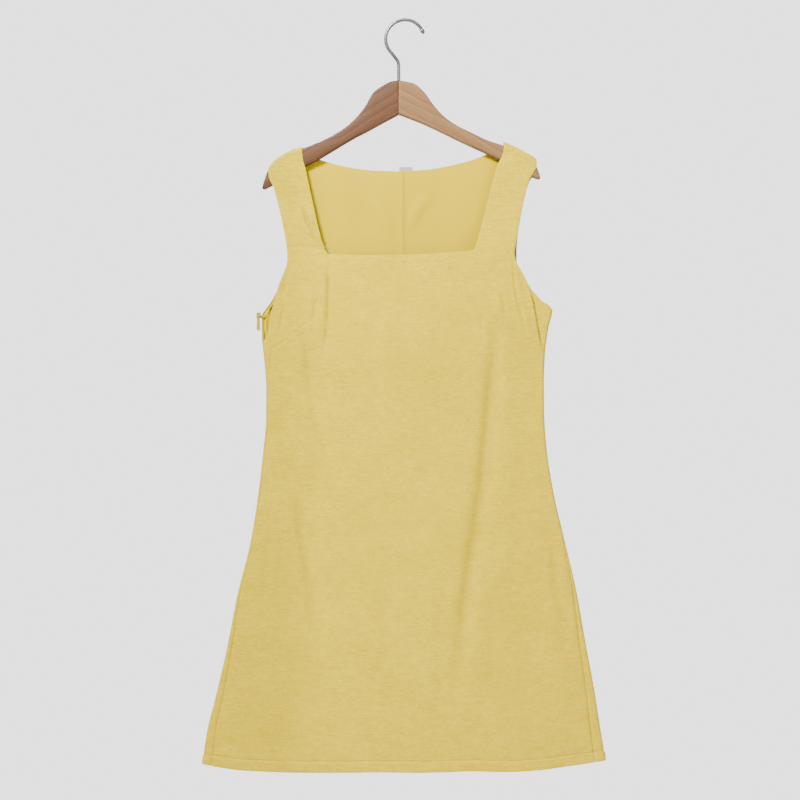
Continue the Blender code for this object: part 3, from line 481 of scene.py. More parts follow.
def read(columns, name, at):
    """A column's values at places, on a smooth curve through the rows that doesn't overshoot them."""
    keys, values = columns["at"], columns[name]
    at = np.clip(np.asarray(at, float), keys[0], keys[-1])
    gaps = np.diff(keys)
    rises = np.diff(values) / gaps
    slopes = np.concatenate([rises[:1], np.zeros(len(rises) - 1), rises[-1:]])
    before, after = rises[:-1], rises[1:]
    same = before * after > 0
    slopes[1:-1][same] = 2 * before[same] * after[same] / (before[same] + after[same])
    low = np.clip(np.searchsorted(keys, at, side="right") - 1, 0, len(keys) - 2)
    part = (at - keys[low]) / gaps[low]
    square, cube = part**2, part**3
    return (
        values[low] * (2 * cube - 3 * square + 1)
        + values[low + 1] * (3 * square - 2 * cube)
        + gaps[low] * (slopes[low] * (cube - 2 * square + part) + slopes[low + 1] * (cube - square))
    )


def blend(first, last, part):
    return first + (last - first) * part


def smooth(part):
    part = np.clip(part, 0.0, 1.0)
    return part * part * (3 - 2 * part)


def in_frame(px, py):
    """x and z of a photo's pixel."""
    return (px - ORIGIN_PX[0]) * METRES_PER_PX, (ORIGIN_PX[1] - py) * METRES_PER_PX


def linked(name, data):
    """A new object in the scene."""
    made = bpy.data.objects.new(name, data)
    bpy.context.scene.collection.objects.link(made)
    return made


# Cross-section of the dress


def side_name(side):
    return "left" if side < 0 else "right"


def half_width(side, height):
    return np.where(np.asarray(side) < 0, read(LEVELS, "left", height), read(LEVELS, "right", height))


def depth(face, share, height):
    """How far a face of the tube stands from its middle plane, at a share of the way out to the fold."""
    deepest = read(LEVELS, "front" if face < 0 else "back", height)
    flatness = read(LEVELS, "flatness", height)
    return FOLD_RADIUS + (deepest - FOLD_RADIUS) * (1 - (1 - flatness) * np.clip(share, 0, 1) ** 3)


def on_tube(along, height, face):
    """x and y of the outer surface at signed distances along the cloth, which may pass round the fold."""
    side = np.where(along < 0, -1.0, 1.0)
    along = np.abs(along)
    flat = half_width(side, height) - FOLD_RADIUS
    past = along - flat
    turn = np.clip(past / FOLD_RADIUS, 0, math.pi)
    near = np.where(turn < math.pi / 2, depth(face, 1.0, height), depth(-face, 1.0, height))
    out = np.maximum(flat - (past - 2 * QUARTER_FOLD), 0.0)
    before, in_fold = past <= 0, past < 2 * QUARTER_FOLD
    x = np.where(before, along, np.where(in_fold, flat + FOLD_RADIUS * np.sin(turn), out))
    beyond = np.where(in_fold, face * near * np.cos(turn), -face * depth(-face, out / flat, height))
    return side * x, np.where(before, face * depth(face, along / flat, height), beyond)


def along_cloth(out, side, height):
    """The distance along the cloth of a point that lies this far out."""
    flat = float(half_width(side, height)) - FOLD_RADIUS
    if out <= flat:
        return out
    return flat + FOLD_RADIUS * math.asin(min((out - flat) / FOLD_RADIUS, 1.0))


def seam_along(side, height, face):
    """The distance along the cloth of a panel's side seam, which the zip leaves open at the left's top."""
    forward = float(read(LEVELS, "seam_" + side_name(side), height))
    apex = float(half_width(side, height)) - FOLD_RADIUS + QUARTER_FOLD
    gap = SEAM_GAP / 2
    if side < 0 and face < 0:
        gap += float(read(ZIP_OPEN, "back", height))
    elif side < 0:
        foot = ZIP_OPEN["at"][0]
        gap = blend(gap, ZIP_SLIT, smooth((height - foot) / (ARM_HEIGHT - foot)))
    return apex + face * forward - gap


def trough(x, height):
    """How far the front's long troughs draw its surface in."""
    made = 0.0
    for side in (-1, 1):
        across = side * x - read(TROUGHS[side], "out", height)
        made = made + read(TROUGHS[side], "depth", height) * np.exp(-((across / TROUGH_WIDTH) ** 2))
    return made


def lowered(x, height):
    """The rise of the hem's lower edge, fading upward."""
    fade = np.maximum((HEM_RISE_ENDS - height) / (HEM_RISE_ENDS - HEM_HEIGHT), 0.0) ** 3
    return fade * read(HEM_RISE, "rise", x / half_width(x, height))


def level_row(along, height, face):
    """Points of the outer surface in a level row."""
    x, y = on_tube(along, height, face)
    if face < 0:
        y = np.where(y < 0, y + trough(x, height), y)
    return np.stack([x, y, height + read(LEVELS, "slope", height) * x + lowered(x, height)], axis=-1)


def free_edge(edges, side, height):
    """Where a sloping level row meets an edge that is given by true height."""
    out = read(edges[side], "out", height)
    for _ in range(4):
        out = read(edges[side], "out", height + read(LEVELS, "slope", height) * side * out)
    return float(out)


# Over the hanger


def shoulder_top(side, out):
    return read(SHOULDER[side], "top", out)


def below_shoulder(side, out, drop):
    beyond, before = shoulder_top(side, out + SHOULDER_STEP), shoulder_top(side, out - SHOULDER_STEP)
    rise = (beyond - before) / (2 * SHOULDER_STEP)
    return shoulder_top(side, out) - drop / np.maximum(1 / np.sqrt(1 + rise**2), STEEPEST_COSINE)


def strap_ends(side):
    """How far out a strap's edges lie on the hanger, and the heights where they turn over it."""
    ends = (SHOULDER[side]["at"][0], SHOULDER[side]["at"][-1])
    return ends, [float(below_shoulder(side, out, FRONT_TURN)) for out in ends]


def over_hanger():
    """y and drop of the rows that carry a strap over the hanger's top and down to the shoulder seam."""
    turns = [math.pi / 2 * step / TURN_CELLS for step in range(TURN_CELLS + 1)]
    front = [(-TOP_HALF - FRONT_TURN * math.cos(a), FRONT_TURN * (1 - math.sin(a))) for a in turns]
    back = [(TOP_HALF + BACK_TURN * math.sin(a), BACK_TURN * (1 - math.cos(a))) for a in turns]
    return front + back + [(TOP_HALF + BACK_TURN, SHOULDER_SEAM_DROP)]


# Grids of the panels


def front_columns(outer, tracks, shift):
    """Signed distances of the front's columns between its two edges, crowded toward them."""
    side = (np.arange(FRONT_SIDE_CELLS + 1) / FRONT_SIDE_CELLS) ** EDGE_CROWDING
    middle = np.arange(1, FRONT_MIDDLE_CELLS) / FRONT_MIDDLE_CELLS
    left = blend(outer[-1], tracks[-1], side)
    right = blend(outer[1], tracks[1], side)[::-1]
    return np.concatenate([left, blend(tracks[-1], tracks[1], middle), right]) + shift


def front_grid(shift=0.0):
    """The front's outer surface, with its columns moved sideways by a shift."""
    grid = []
    for height in np.concatenate([BODY_HEIGHTS, ARM_HEIGHTS]):
        outer, tracks = {}, {}
        rise = (height - ARM_HEIGHT) / (NECK_HEIGHT - ARM_HEIGHT)
        for side in (-1, 1):
            if height <= ARM_HEIGHT + 1e-9:
                outer[side] = side * seam_along(side, height, -1)
            else:
                outer[side] = side * along_cloth(free_edge(FRONT_ARMHOLE, side, height), side, height)
            track = NECK_TRACK * float(half_width(side, height))
            tracks[side] = side * blend(track, float(STRAP_INNER[side]["out"][0]), smooth(rise))
        row = level_row(front_columns(outer, tracks, shift), height, -1)
        middle = (tracks[-1] + tracks[1]) / 2
        reach = (tracks[1] - tracks[-1]) / 2
        sag = max(rise, 0.0) ** 2 * NECK_SAG
        row[:, 2] -= sag * np.maximum(1 - ((row[:, 0] - middle) / reach) ** 2, 0.0)
        grid.append(row)
    grid += strap_rows(grid[-1], shift)
    top = grid[-1]
    x = top[:, 0]
    edges = (top[STRAP_COLUMN][0], top[-1 - STRAP_COLUMN][0])
    for y, drop in over_hanger()[1:]:
        grid.append(np.stack([x, np.full_like(x, y), top_height(x, edges, drop)], axis=-1))
    return np.array(grid)


def between(x, left, right, low, high):
    return blend(low, high, np.clip((x - left) / (right - left), 0, 1))


def top_height(x, edges, drop):
    """Height of the straps' row this far below the hanger's top line, and of the guide points between."""
    left, right = edges
    made = between(x, left, right, below_shoulder(-1, -left, drop), below_shoulder(1, right, drop))
    made = np.where(x <= left, below_shoulder(-1, -x, drop), made)
    return np.where(x >= right, below_shoulder(1, x, drop), made)


def strap_rows(neck, shift):
    """Rows from the neckline up to where the straps turn over the hanger."""
    start_z = {-1: (neck[STRAP_COLUMN][2], neck[0][2]), 1: (neck[-1 - STRAP_COLUMN][2], neck[-1][2])}
    rows = []
    for step in range(1, STRAP_CELLS + 1):
        part = step / STRAP_CELLS
        settled = smooth((part - STRAP_SETTLES) / (1 - STRAP_SETTLES))
        corners, heights = {}, {}
        for side in (-1, 1):
            ends, tops = strap_ends(side)
            heights[side] = [blend(low, top, part) for low, top in zip(start_z[side], tops)]
            corners[side] = [
                side * blend(float(read(edges[side], "out", height)), end, settled)
                for edges, height, end in zip((STRAP_INNER, FRONT_ARMHOLE), heights[side], ends)
            ]
        inner, outer = ({side: corners[side][place] for side in corners} for place in (0, 1))
        rows.append(strap_row(front_columns(outer, inner, shift), corners, heights, part))
    return rows


def strap_row(x, corners, heights, part):
    """A row of both straps, with guide points between them."""
    z = between(x, corners[-1][0], corners[1][0], heights[-1][0], heights[1][0])
    for side in (-1, 1):
        inner, outer = corners[side]
        share = (x - inner) / (outer - inner)
        ends, tops = strap_ends(side)
        lifted = below_shoulder(side, blend(*ends, share), FRONT_TURN) - blend(*tops, share)
        z = np.where(share >= 0, blend(*heights[side], share) + part**2 * lifted, z)
    height = z - read(LEVELS, "slope", z) * x
    y = blend(on_tube(x, height, -1)[1], -TOP_HALF - FRONT_TURN, part**4)
    return np.stack([x, y, z], axis=-1)


def back_top(x):
    """The back's upper edge: shoulder seam, neck, shoulder seam."""
    made = read(BACK_NECK, "top", x)
    for side in (-1, 1):
        on_shoulder = below_shoulder(side, np.abs(x), SHOULDER_SEAM_DROP + SEAM_GAP)
        made = np.where(side * x >= SHOULDER[side]["at"][0], on_shoulder, made)
    return made


def back_columns(side, edge, fold, track, shift):
    """Distances of one half's columns from its side edge to the middle seam, crowded toward the seam."""
    middle = side * BACK_SEAM_X + MIDDLE_GAP / 2
    near = edge - fold * np.arange(BACK_FOLD_CELLS + 1) / BACK_FOLD_CELLS
    over = blend(near[-1], track, np.arange(1, BACK_SIDE_CELLS + 1) / BACK_SIDE_CELLS)
    crowded = 1 - (1 - np.arange(1, BACK_MIDDLE_CELLS + 1) / BACK_MIDDLE_CELLS) ** EDGE_CROWDING
    last = blend(track, middle, crowded)
    return np.concatenate([near, over, last]) + shift


def back_grid(side, shift=0.0):
    """The outer surface of half the back, from its side edge to the middle seam."""
    grid = []
    for height in BODY_HEIGHTS:
        fold = QUARTER_FOLD + float(read(LEVELS, "seam_" + side_name(side), height))
        track = BACK_TRACK * float(half_width(side, height))
        columns = back_columns(side, seam_along(side, height, 1), fold, track, shift)
        grid.append(level_row(side * columns, height, 1))
    arm_z = grid[-1][:, 2]
    corner_in, corner_out = strap_ends(side)[0]
    tops = back_top(side * back_columns(side, corner_out, QUARTER_FOLD, corner_in, shift))
    for step in range(1, BACK_UPPER_CELLS + 1):
        part = (step / BACK_UPPER_CELLS) ** BACK_CROWDING
        edge_z = blend(arm_z[0], float(back_top(side * corner_out)), part)
        height = edge_z - float(read(LEVELS, "slope", edge_z)) * side * corner_out
        edge = float(read(BACK_ARMHOLE[side], "out", edge_z))
        edge = blend(edge, corner_out, smooth((part - ARMHOLE_SETTLES) / (1 - ARMHOLE_SETTLES)))
        track = blend(BACK_TRACK * float(half_width(side, ARM_HEIGHT)), corner_in, part)
        along = back_columns(side, along_cloth(edge, side, height), QUARTER_FOLD, track, shift)
        z = blend(arm_z, tops, part)
        x, y = on_tube(side * along, z - read(LEVELS, "slope", z) * side * along, 1)
        grid.append(np.stack([x, y, z], axis=-1))
    return np.array(grid)


def with_normals(make_grid, face):
    """A grid of points and its unit normals, which point out on a face of the tube."""
    points = make_grid(0.0)
    return points, unit_normals(points, face, make_grid(NORMAL_STEP) - make_grid(-NORMAL_STEP))


def unit_normals(points, face, along=None):
    """Unit normals of a grid, from the ways that its columns and rows run."""
    if along is None:
        along = np.gradient(points, axis=1)
    out = np.cross(along, np.gradient(points, axis=0))
    out /= np.maximum(np.linalg.norm(out, axis=2, keepdims=True), 1e-12)
    middle = out[len(out) // 3, out.shape[1] // 2]
    return out * (1 if middle[1] * face > 0 else -1)


# Relief of the cloth


def spline_points(points, steps):
    """Points along a smooth curve through all the given points but the first and the last."""
    made = []
    for a, b, c, d in zip(points, points[1:], points[2:], points[3:]):
        for t in np.arange(steps) / steps:
            rise = 2 * b + (c - a) * t + (2 * a - 5 * b + 4 * c - d) * t**2
            made.append(0.5 * (rise + (3 * b - a - 3 * c + d) * t**3))
    return made


def curve_through(places):
    """Points along a smooth curve through a crease's own points."""
    points = np.array([in_frame(*place) for place in places])
    points = np.concatenate([2 * points[:1] - points[1:2], points, 2 * points[-1:] - points[-2:-1]])
    return np.array(spline_points(points, CREASE_STEPS) + [points[-2]])


def nearest(x, z, line):
    """Signed distance to a line, positive to its right seen from the front, and the share along it."""
    best = np.full(x.shape, 1e9)
    signed, share = np.zeros(x.shape), np.zeros(x.shape)
    lengths = np.linalg.norm(np.diff(line, axis=0), axis=1)
    starts = np.concatenate([[0], np.cumsum(lengths)[:-1]])
    for start, end, length, before in zip(line, line[1:], lengths, starts):
        ahead = (end - start) / length
        dx, dz = x - start[0], z - start[1]
        part = np.clip(dx * ahead[0] + dz * ahead[1], 0, length)
        off_x, off_z = dx - part * ahead[0], dz - part * ahead[1]
        gap = np.hypot(off_x, off_z)
        closer = gap < best
        best = np.where(closer, gap, best)
        signed = np.where(closer, np.where(ahead[0] * off_z - ahead[1] * off_x > 0, gap, -gap), signed)
        share = np.where(closer, (before + part) / lengths.sum(), share)
    return signed, share


def crease_shape(kind, gap):
    """A crease's cross-section, from the distance across it in its own widths."""
    if kind in ("valley", "hollow"):
        steep = gap > 0 if kind == "valley" else gap < 0
        return -np.exp(-np.where(steep, gap, gap / VALLEY_SPREAD) ** 2)
    if kind == "step":
        fall = smooth(gap + 0.5)
        after = STEP_LIFT * (1 - fall) - fall * np.exp(-np.maximum(gap, 0) / STEP_FADES[1])
        return np.where(gap < -0.5, STEP_LIFT * np.exp((gap + 0.5) / STEP_FADES[0]), after)
    bell = np.exp(-(gap**2))
    if kind == "ridge":
        return bell
    height, place, spread = CREASE_LIPS[kind]
    return -bell + height * np.exp(-(((np.abs(gap) - place) / spread) ** 2))


def relief(x, z, creases):
    """How far out the creases move the surface at each point."""
    made = np.zeros(x.shape)
    for kind, width, amount, places in creases:
        line = curve_through(places)
        low, high = line.min(axis=0) - CREASE_REACH, line.max(axis=0) + CREASE_REACH
        here = (x > low[0]) & (x < high[0]) & (z > low[1]) & (z < high[1])
        if here.any():
            gap, share = nearest(x[here], z[here], line)
            fade = smooth(share / CREASE_FADES[0]) * smooth((1 - share) / CREASE_FADES[1])
            made[here] += amount * fade * crease_shape(kind, gap / width)
    return made


def lattice_noise(x, z, size_x, size_z, seed):
    """Soft random relief from -1 to 1, with its lumps this wide and tall."""
    values = np.random.default_rng(seed).uniform(-1, 1, NOISE_CELLS)
    u, v = (x + NOISE_CORNER[0]) / size_x, (z + NOISE_CORNER[1]) / size_z
    low_u, low_v = np.floor(u).astype(int), np.floor(v).astype(int)
    levels = []
    for row in (low_v, low_v + 1):
        pair = [values[column % NOISE_CELLS[0], row % NOISE_CELLS[1]] for column in (low_u, low_u + 1)]
        levels.append(blend(*pair, smooth(u - low_u)))
    return blend(*levels, smooth(v - low_v))


def rumple(x, z, seed):
    """The linen's own unevenness: faint broad lumps and finer puckers, longer up and down than across."""
    return sum(
        height * lattice_noise(x, z, wide, tall, seed + layer)
        for layer, (height, wide, tall) in enumerate(RUMPLES)
    )


def edge_roll(distance):
    return -EDGE_ROLL * np.exp(-((distance / EDGE_ROLL_WIDTH) ** 2))


def side_roll(side, heights):
    """How strongly a side seam's edge rolls in at each row: less at the outline, more by the open zip."""
    rows = np.full(len(heights), 1.0)
    below = np.arange(len(heights)) < len(BODY_HEIGHTS)
    forward = read(LEVELS, "seam_" + side_name(side), heights[below])
    rows[below] = blend(*SIDE_SEAM_ROLL, smooth(forward / SEAM_ROLL_FORWARD))
    if side < 0:
        rows[below] += ZIP_ROLL * read(ZIP_OPEN, "back", heights[below]) / ZIP_OPEN["back"][-1]
    return rows[:, None]


def hem_relief(rise):
    """A shallow line where the turned hem ends, and its soft lower edge."""
    band = HEM_BAND_LIFT * smooth((HEM_TURN - rise) / HEM_BAND_EDGE + 0.5)
    line = HEM_LINE_DEPTH * np.exp(-(((rise - HEM_TURN) / HEM_LINE_WIDTH) ** 2))
    return band - line + edge_roll(rise)


# Pieces of cloth


def mesh_object(name, points, faces):
    data = bpy.data.meshes.new(name)
    data.from_pydata([tuple(point) for point in points], [], [tuple(face) for face in faces])
    data.validate()
    data.shade_smooth()
    return linked(name, data)


def recalculated(made):
    """The piece with its faces turned out."""
    mesh = bmesh.new()
    mesh.from_mesh(made.data)
    mesh.normal_update()
    bmesh.ops.recalc_face_normals(mesh, faces=mesh.faces)
    mesh.to_mesh(made.data)
    mesh.free()
    return made


def finished(made, finish, slot, *nodes, body="root", sharp=None):
    """Gives a piece its material and body, and hides the part's nodes that it stands for. The slot is not
    used.
    """
    made.data.materials.append(finish)
    if sharp:
        made.data.set_sharp_from_angle(angle=math.radians(sharp))
    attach(made, body)
    if nodes:
        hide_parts(*nodes)
    return made


def wall(name, outer, inner, present=None):
    """A closed wall between two matching grids of points, over the cells that are present."""
    rows, columns = outer.shape[:2]
    count = rows * columns
    if present is None:
        present = np.ones((rows - 1, columns - 1), bool)
    index = np.arange(count).reshape(rows, columns)
    corners = [index[:-1, :-1], index[:-1, 1:], index[1:, 1:], index[1:, :-1]]
    quads = np.stack([corner[present] for corner in corners], axis=-1)
    padded = np.pad(present, 1)
    faces = [quads, quads[:, ::-1] + count]
    neighbours = (padded[:-2, 1:-1], padded[1:-1, 2:], padded[2:, 1:-1], padded[1:-1, :-2])
    for side, neighbour in enumerate(neighbours):
        open_side = present & ~neighbour
        a, b = corners[side][open_side], corners[(side + 1) % 4][open_side]
        faces.append(np.stack([b, a, a + count, b + count], axis=-1))
    points = np.concatenate([outer.reshape(-1, 3), inner.reshape(-1, 3)])
    used, renumbered = np.unique(np.concatenate(faces), return_inverse=True)
    made = mesh_object(name, points[used], renumbered.reshape(-1, 4))
    if np.dot(np.array(made.data.polygons[0].normal), outer[0, 0] - inner[0, 0]) < 0:
        made.data.flip_normals()
    return made


def stitches(name, line, out, finish):
    """Short raised stitches along a line of a cloth's outer points, of which it takes the normals too."""
    lengths = np.linalg.norm(np.diff(line, axis=0), axis=1)
    along = np.concatenate([[0], np.cumsum(lengths)])

    def at(place, values):
        return np.array([np.interp(place, along, values[:, axis]) for axis in range(3)])

    points = []
    faces = []
    for start in np.arange(STITCH_MARGIN, along[-1] - STITCH_MARGIN, STITCH_PITCH):
        first, last, away = at(start, line), at(start + STITCH_LENGTH, line), at(start, out)
        ahead = (last - first) / np.linalg.norm(last - first)
        up = np.cross(away, ahead)
        count = len(points)
        points += [first, last]
        for part in STITCH_SHOULDERS:
            middle = blend(first, last, part) + away * STITCH_RADIUS * STITCH_LIFT
            for turn in range(STITCH_SIDES):
                angle = 2 * math.pi / STITCH_SIDES * turn
                points.append(middle + STITCH_RADIUS * (math.cos(angle) * away + math.sin(angle) * up))
        for turn in range(STITCH_SIDES):
            near, far = count + 2 + turn, count + 2 + (turn + 1) % STITCH_SIDES
            beyond = (near + STITCH_SIDES, far + STITCH_SIDES)
            faces += [(count, far, near), (near, far, beyond[1], beyond[0]), (count + 1, *beyond)]
    finished(recalculated(mesh_object(name, points, faces)), finish, "linen")


def make_front(linen, thread):
    """The front with its straps, creased, with rolled edges and a turned hem."""
    points, out = with_normals(front_grid, -1)
    x, z = points[:, :, 0], points[:, :, 2]
    move = (relief(x, z, FRONT_CREASES) + rumple(x, z, FRONT_SEED)) * np.clip(-out[:, :, 1], 0, 1)
    heights = np.concatenate([BODY_HEIGHTS, ARM_HEIGHTS])
    move[: len(heights)] += hem_relief(heights - HEM_HEIGHT)[:, None]
    for side, column in ((-1, 0), (1, -1)):
        move += edge_roll(np.abs(x - x[:, column, None])) * side_roll(side, points[:, 0, 2])
    on_strap = np.arange(len(points))[:, None] > NECK_ROW
    neck_left, neck_right = x[:, STRAP_COLUMN, None], x[:, -1 - STRAP_COLUMN, None]
    for edge_x in (neck_left, neck_right):
        move += np.where(on_strap, edge_roll(np.abs(x - edge_x)), 0.0)
    below_neck = z[NECK_ROW] - z
    across_neck = (x > neck_left) & (x < neck_right) & ~on_strap
    move += np.where(across_neck & (below_neck >= 0), edge_roll(below_neck), 0.0)
    move[-TURN_CELLS * 2 :] *= OVER_HANGER_ROLL
    outer = points + out * move[:, :, None]
    lips = unit_normals(outer, -1)
    present = np.ones((outer.shape[0] - 1, outer.shape[1] - 1), bool)
    present[NECK_ROW:, STRAP_COLUMN : outer.shape[1] - 1 - STRAP_COLUMN] = False
    stitches("hem_stitches_front", outer[STITCH_ROW], lips[STITCH_ROW], thread)
    made = wall("front_cloth", outer, outer - lips * CLOTH, present)
    return finished(made, linen, "linen", "front", "front_side_left", "front_side_right", sharp=CLOTH_SHARP)


def make_back(side, linen, lining, thread):
    """Half the back and its lining."""
    points, out = with_normals(lambda shift: back_grid(side, shift), 1)
    name = side_name(side)
    x, z = points[:, :, 0], points[:, :, 2]
    seam = np.abs(x - BACK_SEAM_X)
    seam_line = np.exp(-((seam / BACK_SEAM_WIDTH) ** 2))
    from_side, from_top = np.abs(x - x[:, :1]), z[-1:] - z
    move = (relief(x, z, BACK_CREASES) + rumple(x, z, BACK_SEED)) * np.clip(out[:, :, 1], 0, 1)
    move *= smooth(seam / BACK_SEAM_CALM)
    rise = np.concatenate([BODY_HEIGHTS, np.full(BACK_UPPER_CELLS, 0.0)]) - HEM_HEIGHT
    move += hem_relief(rise)[:, None]
    move += edge_roll(from_side) * side_roll(side, points[:, 0, 2]) + edge_roll(from_top)
    move -= BACK_SEAM_DEPTH * seam_line
    outer = points + out * move[:, :, None]
    lips = unit_normals(outer, 1)
    back = wall("back_cloth_" + name, outer, outer - lips * CLOTH)
    finished(back, linen, "linen", "back_" + name, "back_side_" + name, sharp=CLOTH_SHARP)
    stitches("hem_stitches_back_" + name, outer[STITCH_ROW], lips[STITCH_ROW], thread)

    ease = relief(x, z, LINING_CREASES) * smooth(seam / LINING_CALM) * smooth(from_top / LINING_CALM)
    under = CLOTH + SEAM_GAP + LINING_SLACK + LINING_FOLLOWS * np.maximum(-move, 0)
    under += np.maximum(LINING_EASE - ease, 0)
    under += LINING_SEAM_SLACK * seam_line
    loose = smooth(from_top / LINING_EDGES[0]) * smooth(from_side / LINING_EDGES[1])
    under = blend(CLOTH + SEAM_GAP + LINING_PLAY, under, loose)
    foot_row = int(np.searchsorted(BODY_HEIGHTS, HEM_HEIGHT + LINING_FOOT))
    facing = (outer - out * under[:, :, None])[foot_row:, LINING_START:]
    facing = facing[::-1, ::-1][::LINING_STEP, ::LINING_STEP][::-1, ::-1]
    lined = wall("lining_" + name, facing, facing - unit_normals(facing, 1) * LINING)
    finished(lined, lining, "lining", "lining_back_" + name, sharp=CLOTH_SHARP)
    return back, lined


# Hanger


def board_section(top, foot, half):
    """y and z of a board's cross-section, a rectangle with round corners that shrink where it is thin."""
    radius = min(BOARD_CORNER, BOARD_CORNER_SHARES[0] * (top - foot), BOARD_CORNER_SHARES[1] * half)
    made = []
    for turn, y, z in ((0, half, top), (1, -half, top), (2, -half, foot), (3, half, foot)):
        centre_y = y - math.copysign(radius, y)
        centre_z = z - radius if turn < 2 else z + radius
        for step in range(BOARD_CORNER_CELLS + 1):
            angle = math.pi / 2 * (turn + step / BOARD_CORNER_CELLS)
            made.append((centre_y + radius * math.cos(angle), centre_z + radius * math.sin(angle)))
    return made


def make_board(side, finish, slot):
    """One half of the hanger, through upright sections from the joint to the tip."""
    columns = BOARDS[side]
    first = side * HANGER_JOINT_X + MIDDLE_GAP / 2
    part = np.linspace(0, 1, BOARD_STATIONS)[1:]
    stations = first + (columns["at"][-1] - first) * (1 - (1 - part) ** BOARD_CROWDING)
    points = []
    for out, inset in [(first, JOINT_BEVEL), (first + JOINT_BEVEL, 0.0)] + [(out, 0.0) for out in stations]:
        top, foot, half = [float(read(columns, name, out)) for name in ("top", "foot", "half")]
        points += [(side * out, y, z) for y, z in board_section(top - inset, foot + inset, half - inset)]
    index = np.arange(len(points)).reshape(BOARD_STATIONS + 1, -1)
    later = np.roll(index, -1, axis=1)
    faces = np.stack([index[:-1], later[:-1], later[1:], index[1:]], axis=-1).reshape(-1, 4)
    made = mesh_object("board_" + side_name(side), points, [*faces, index[0], index[-1]])
    return finished(recalculated(made), finish, slot, "hanger_arm_" + side_name(side), sharp=BOARD_SHARP)


def make_hook(finish):
    """Wire hook with a beaded tip."""
    radius = HOOK_INSIDE + WIRE_RADIUS
    angles = np.radians(np.linspace(HOOK_TIP_DEG, HOOK_END_DEG, HOOK_STEPS[0]))
    points = [(radius * math.cos(a), radius * math.sin(a) - HOOK_INSIDE) for a in angles]
    points += spline_points(np.array(HOOK_BEND), HOOK_STEPS[1])
    points += [HOOK_BEND[-2], (HANGER_JOINT_X, STEM_FOOT)]
    data = bpy.data.curves.new("hook", "CURVE")
    data.dimensions = "3D"
    data.bevel_depth = WIRE_RADIUS
    data.bevel_resolution = 6
    data.use_fill_caps = True
    spline = data.splines.new("POLY")
    spline.points.add(len(points) - 1)
    for point, (x, z) in zip(spline.points, points):
        point.co = (x, 0.0, z, 1.0)
    spline.use_smooth = True
    for point, swell in zip(spline.points, HOOK_TIP_SWELL):
        point.radius = swell
    return finished(linked("hook", data), finish, "steel", "hanger_hook")


# Zip and label


def bevelled(mesh, name, bevel):
    """A small piece made of a bmesh, with its edges bevelled."""
    data = bpy.data.meshes.new(name)
    bmesh.ops.recalc_face_normals(mesh, faces=mesh.faces)
    mesh.to_mesh(data)
    mesh.free()
    data.shade_smooth()
    made = linked(name, data)
    edges = made.modifiers.new("edges", "BEVEL")
    edges.width = bevel
    edges.segments = 3
    edges.limit_method = "ANGLE"
    edges.use_clamp_overlap = True
    return made


def add_box(mesh, low, high):
    middle = mathutils.Vector([(a + b) / 2 for a, b in zip(low, high)])
    size = mathutils.Matrix.Diagonal([b - a for a, b in zip(low, high)] + [1.0])
    bmesh.ops.create_cube(mesh, size=1.0, matrix=mathutils.Matrix.Translation(middle) @ size)


def make_slider(finish):
    """The slider: a nose outside the cloth, a block inside it, a bridge, two ears and the pull's pin."""
    mesh = bmesh.new()
    add_box(mesh, (NOSE_X[0], -SLIDER_HALF, SLIDER_FOOT), (NOSE_X[1], SLIDER_HALF, NOSE_TOP))
    add_box(mesh, (BLOCK_X[0], -SLIDER_HALF, SLIDER_FOOT), (BLOCK_X[1], SLIDER_HALF, BLOCK_TOP))
    add_box(mesh, (NOSE_X[1] - EAR, -BRIDGE_HALF, SLIDER_FOOT), (BLOCK_X[0] + EAR, BRIDGE_HALF, BLOCK_TOP))
    for start in (NOSE_X[0], NOSE_X[1] - EAR):
        add_box(mesh, (start, EAR_FRONT, EAR_Z[0]), (start + EAR, -SLIDER_HALF / 2, EAR_Z[1]))
    bmesh.ops.create_cone(
        mesh, cap_ends=True, segments=ROUND_SIDES, radius1=PIN_RADIUS, radius2=PIN_RADIUS,
        depth=NOSE_X[1] - NOSE_X[0] - EAR,
        matrix=mathutils.Matrix.Translation(PIN) @ mathutils.Matrix.Rotation(math.pi / 2, 4, "Y"),
    )
    made = bevelled(mesh, "slider", METAL_BEVEL)
    return finished(made, finish, "zip_lacquer", "zip_slider", sharp=METAL_SHARP)


def pull_outline():
    """The pull's outline round the pin: neck, shoulders, waist and round foot."""
    half = PULL_WIDTH / 2
    neck = BARREL_LENGTH / 2
    waist = PULL_LENGTH - half
    side = [(-neck, 0.0), (-neck, -PULL_SHOULDER), (-PULL_SHOULDER_HALF, -PULL_SHOULDER)]
    side += [(-PULL_SHOULDER_HALF, -PULL_SHOULDER - PULL_TAPER), (-half, -waist)]
    angles = [math.pi * step / PULL_FOOT_STEPS for step in range(1, PULL_FOOT_STEPS)]
    foot = [(-half * math.cos(a), -waist - half * math.sin(a)) for a in angles]
    return side + foot + [(-x, z) for x, z in reversed(side)]


def make_pull(finish):
    """The pull tab with a raised rim and a barrel round the slider's pin."""
    mesh = bmesh.new()
    rear_y = PIN.y - PULL_THICKNESS / 2
    base = mesh.faces.new([mesh.verts.new((PIN.x + x, rear_y, PIN.z + z)) for x, z in pull_outline()])
    made = bmesh.ops.extrude_face_region(mesh, geom=[base])["geom"]
    moved = [item for item in made if isinstance(item, bmesh.types.BMVert)]
    bmesh.ops.translate(mesh, verts=moved, vec=(0, PULL_THICKNESS, 0))
    flats = [face for face in mesh.faces if len(face.verts) > 8]
    bmesh.ops.recalc_face_normals(mesh, faces=mesh.faces)
    bmesh.ops.inset_individual(mesh, faces=flats, thickness=PULL_RIM_WIDTH, depth=-PULL_RIM)
    add_barrel(mesh)
    made = bevelled(mesh, "pull", PULL_BEVEL)
    return finished(made, finish, "zip_lacquer", "zip_pull", body="zip_pull", sharp=METAL_SHARP)


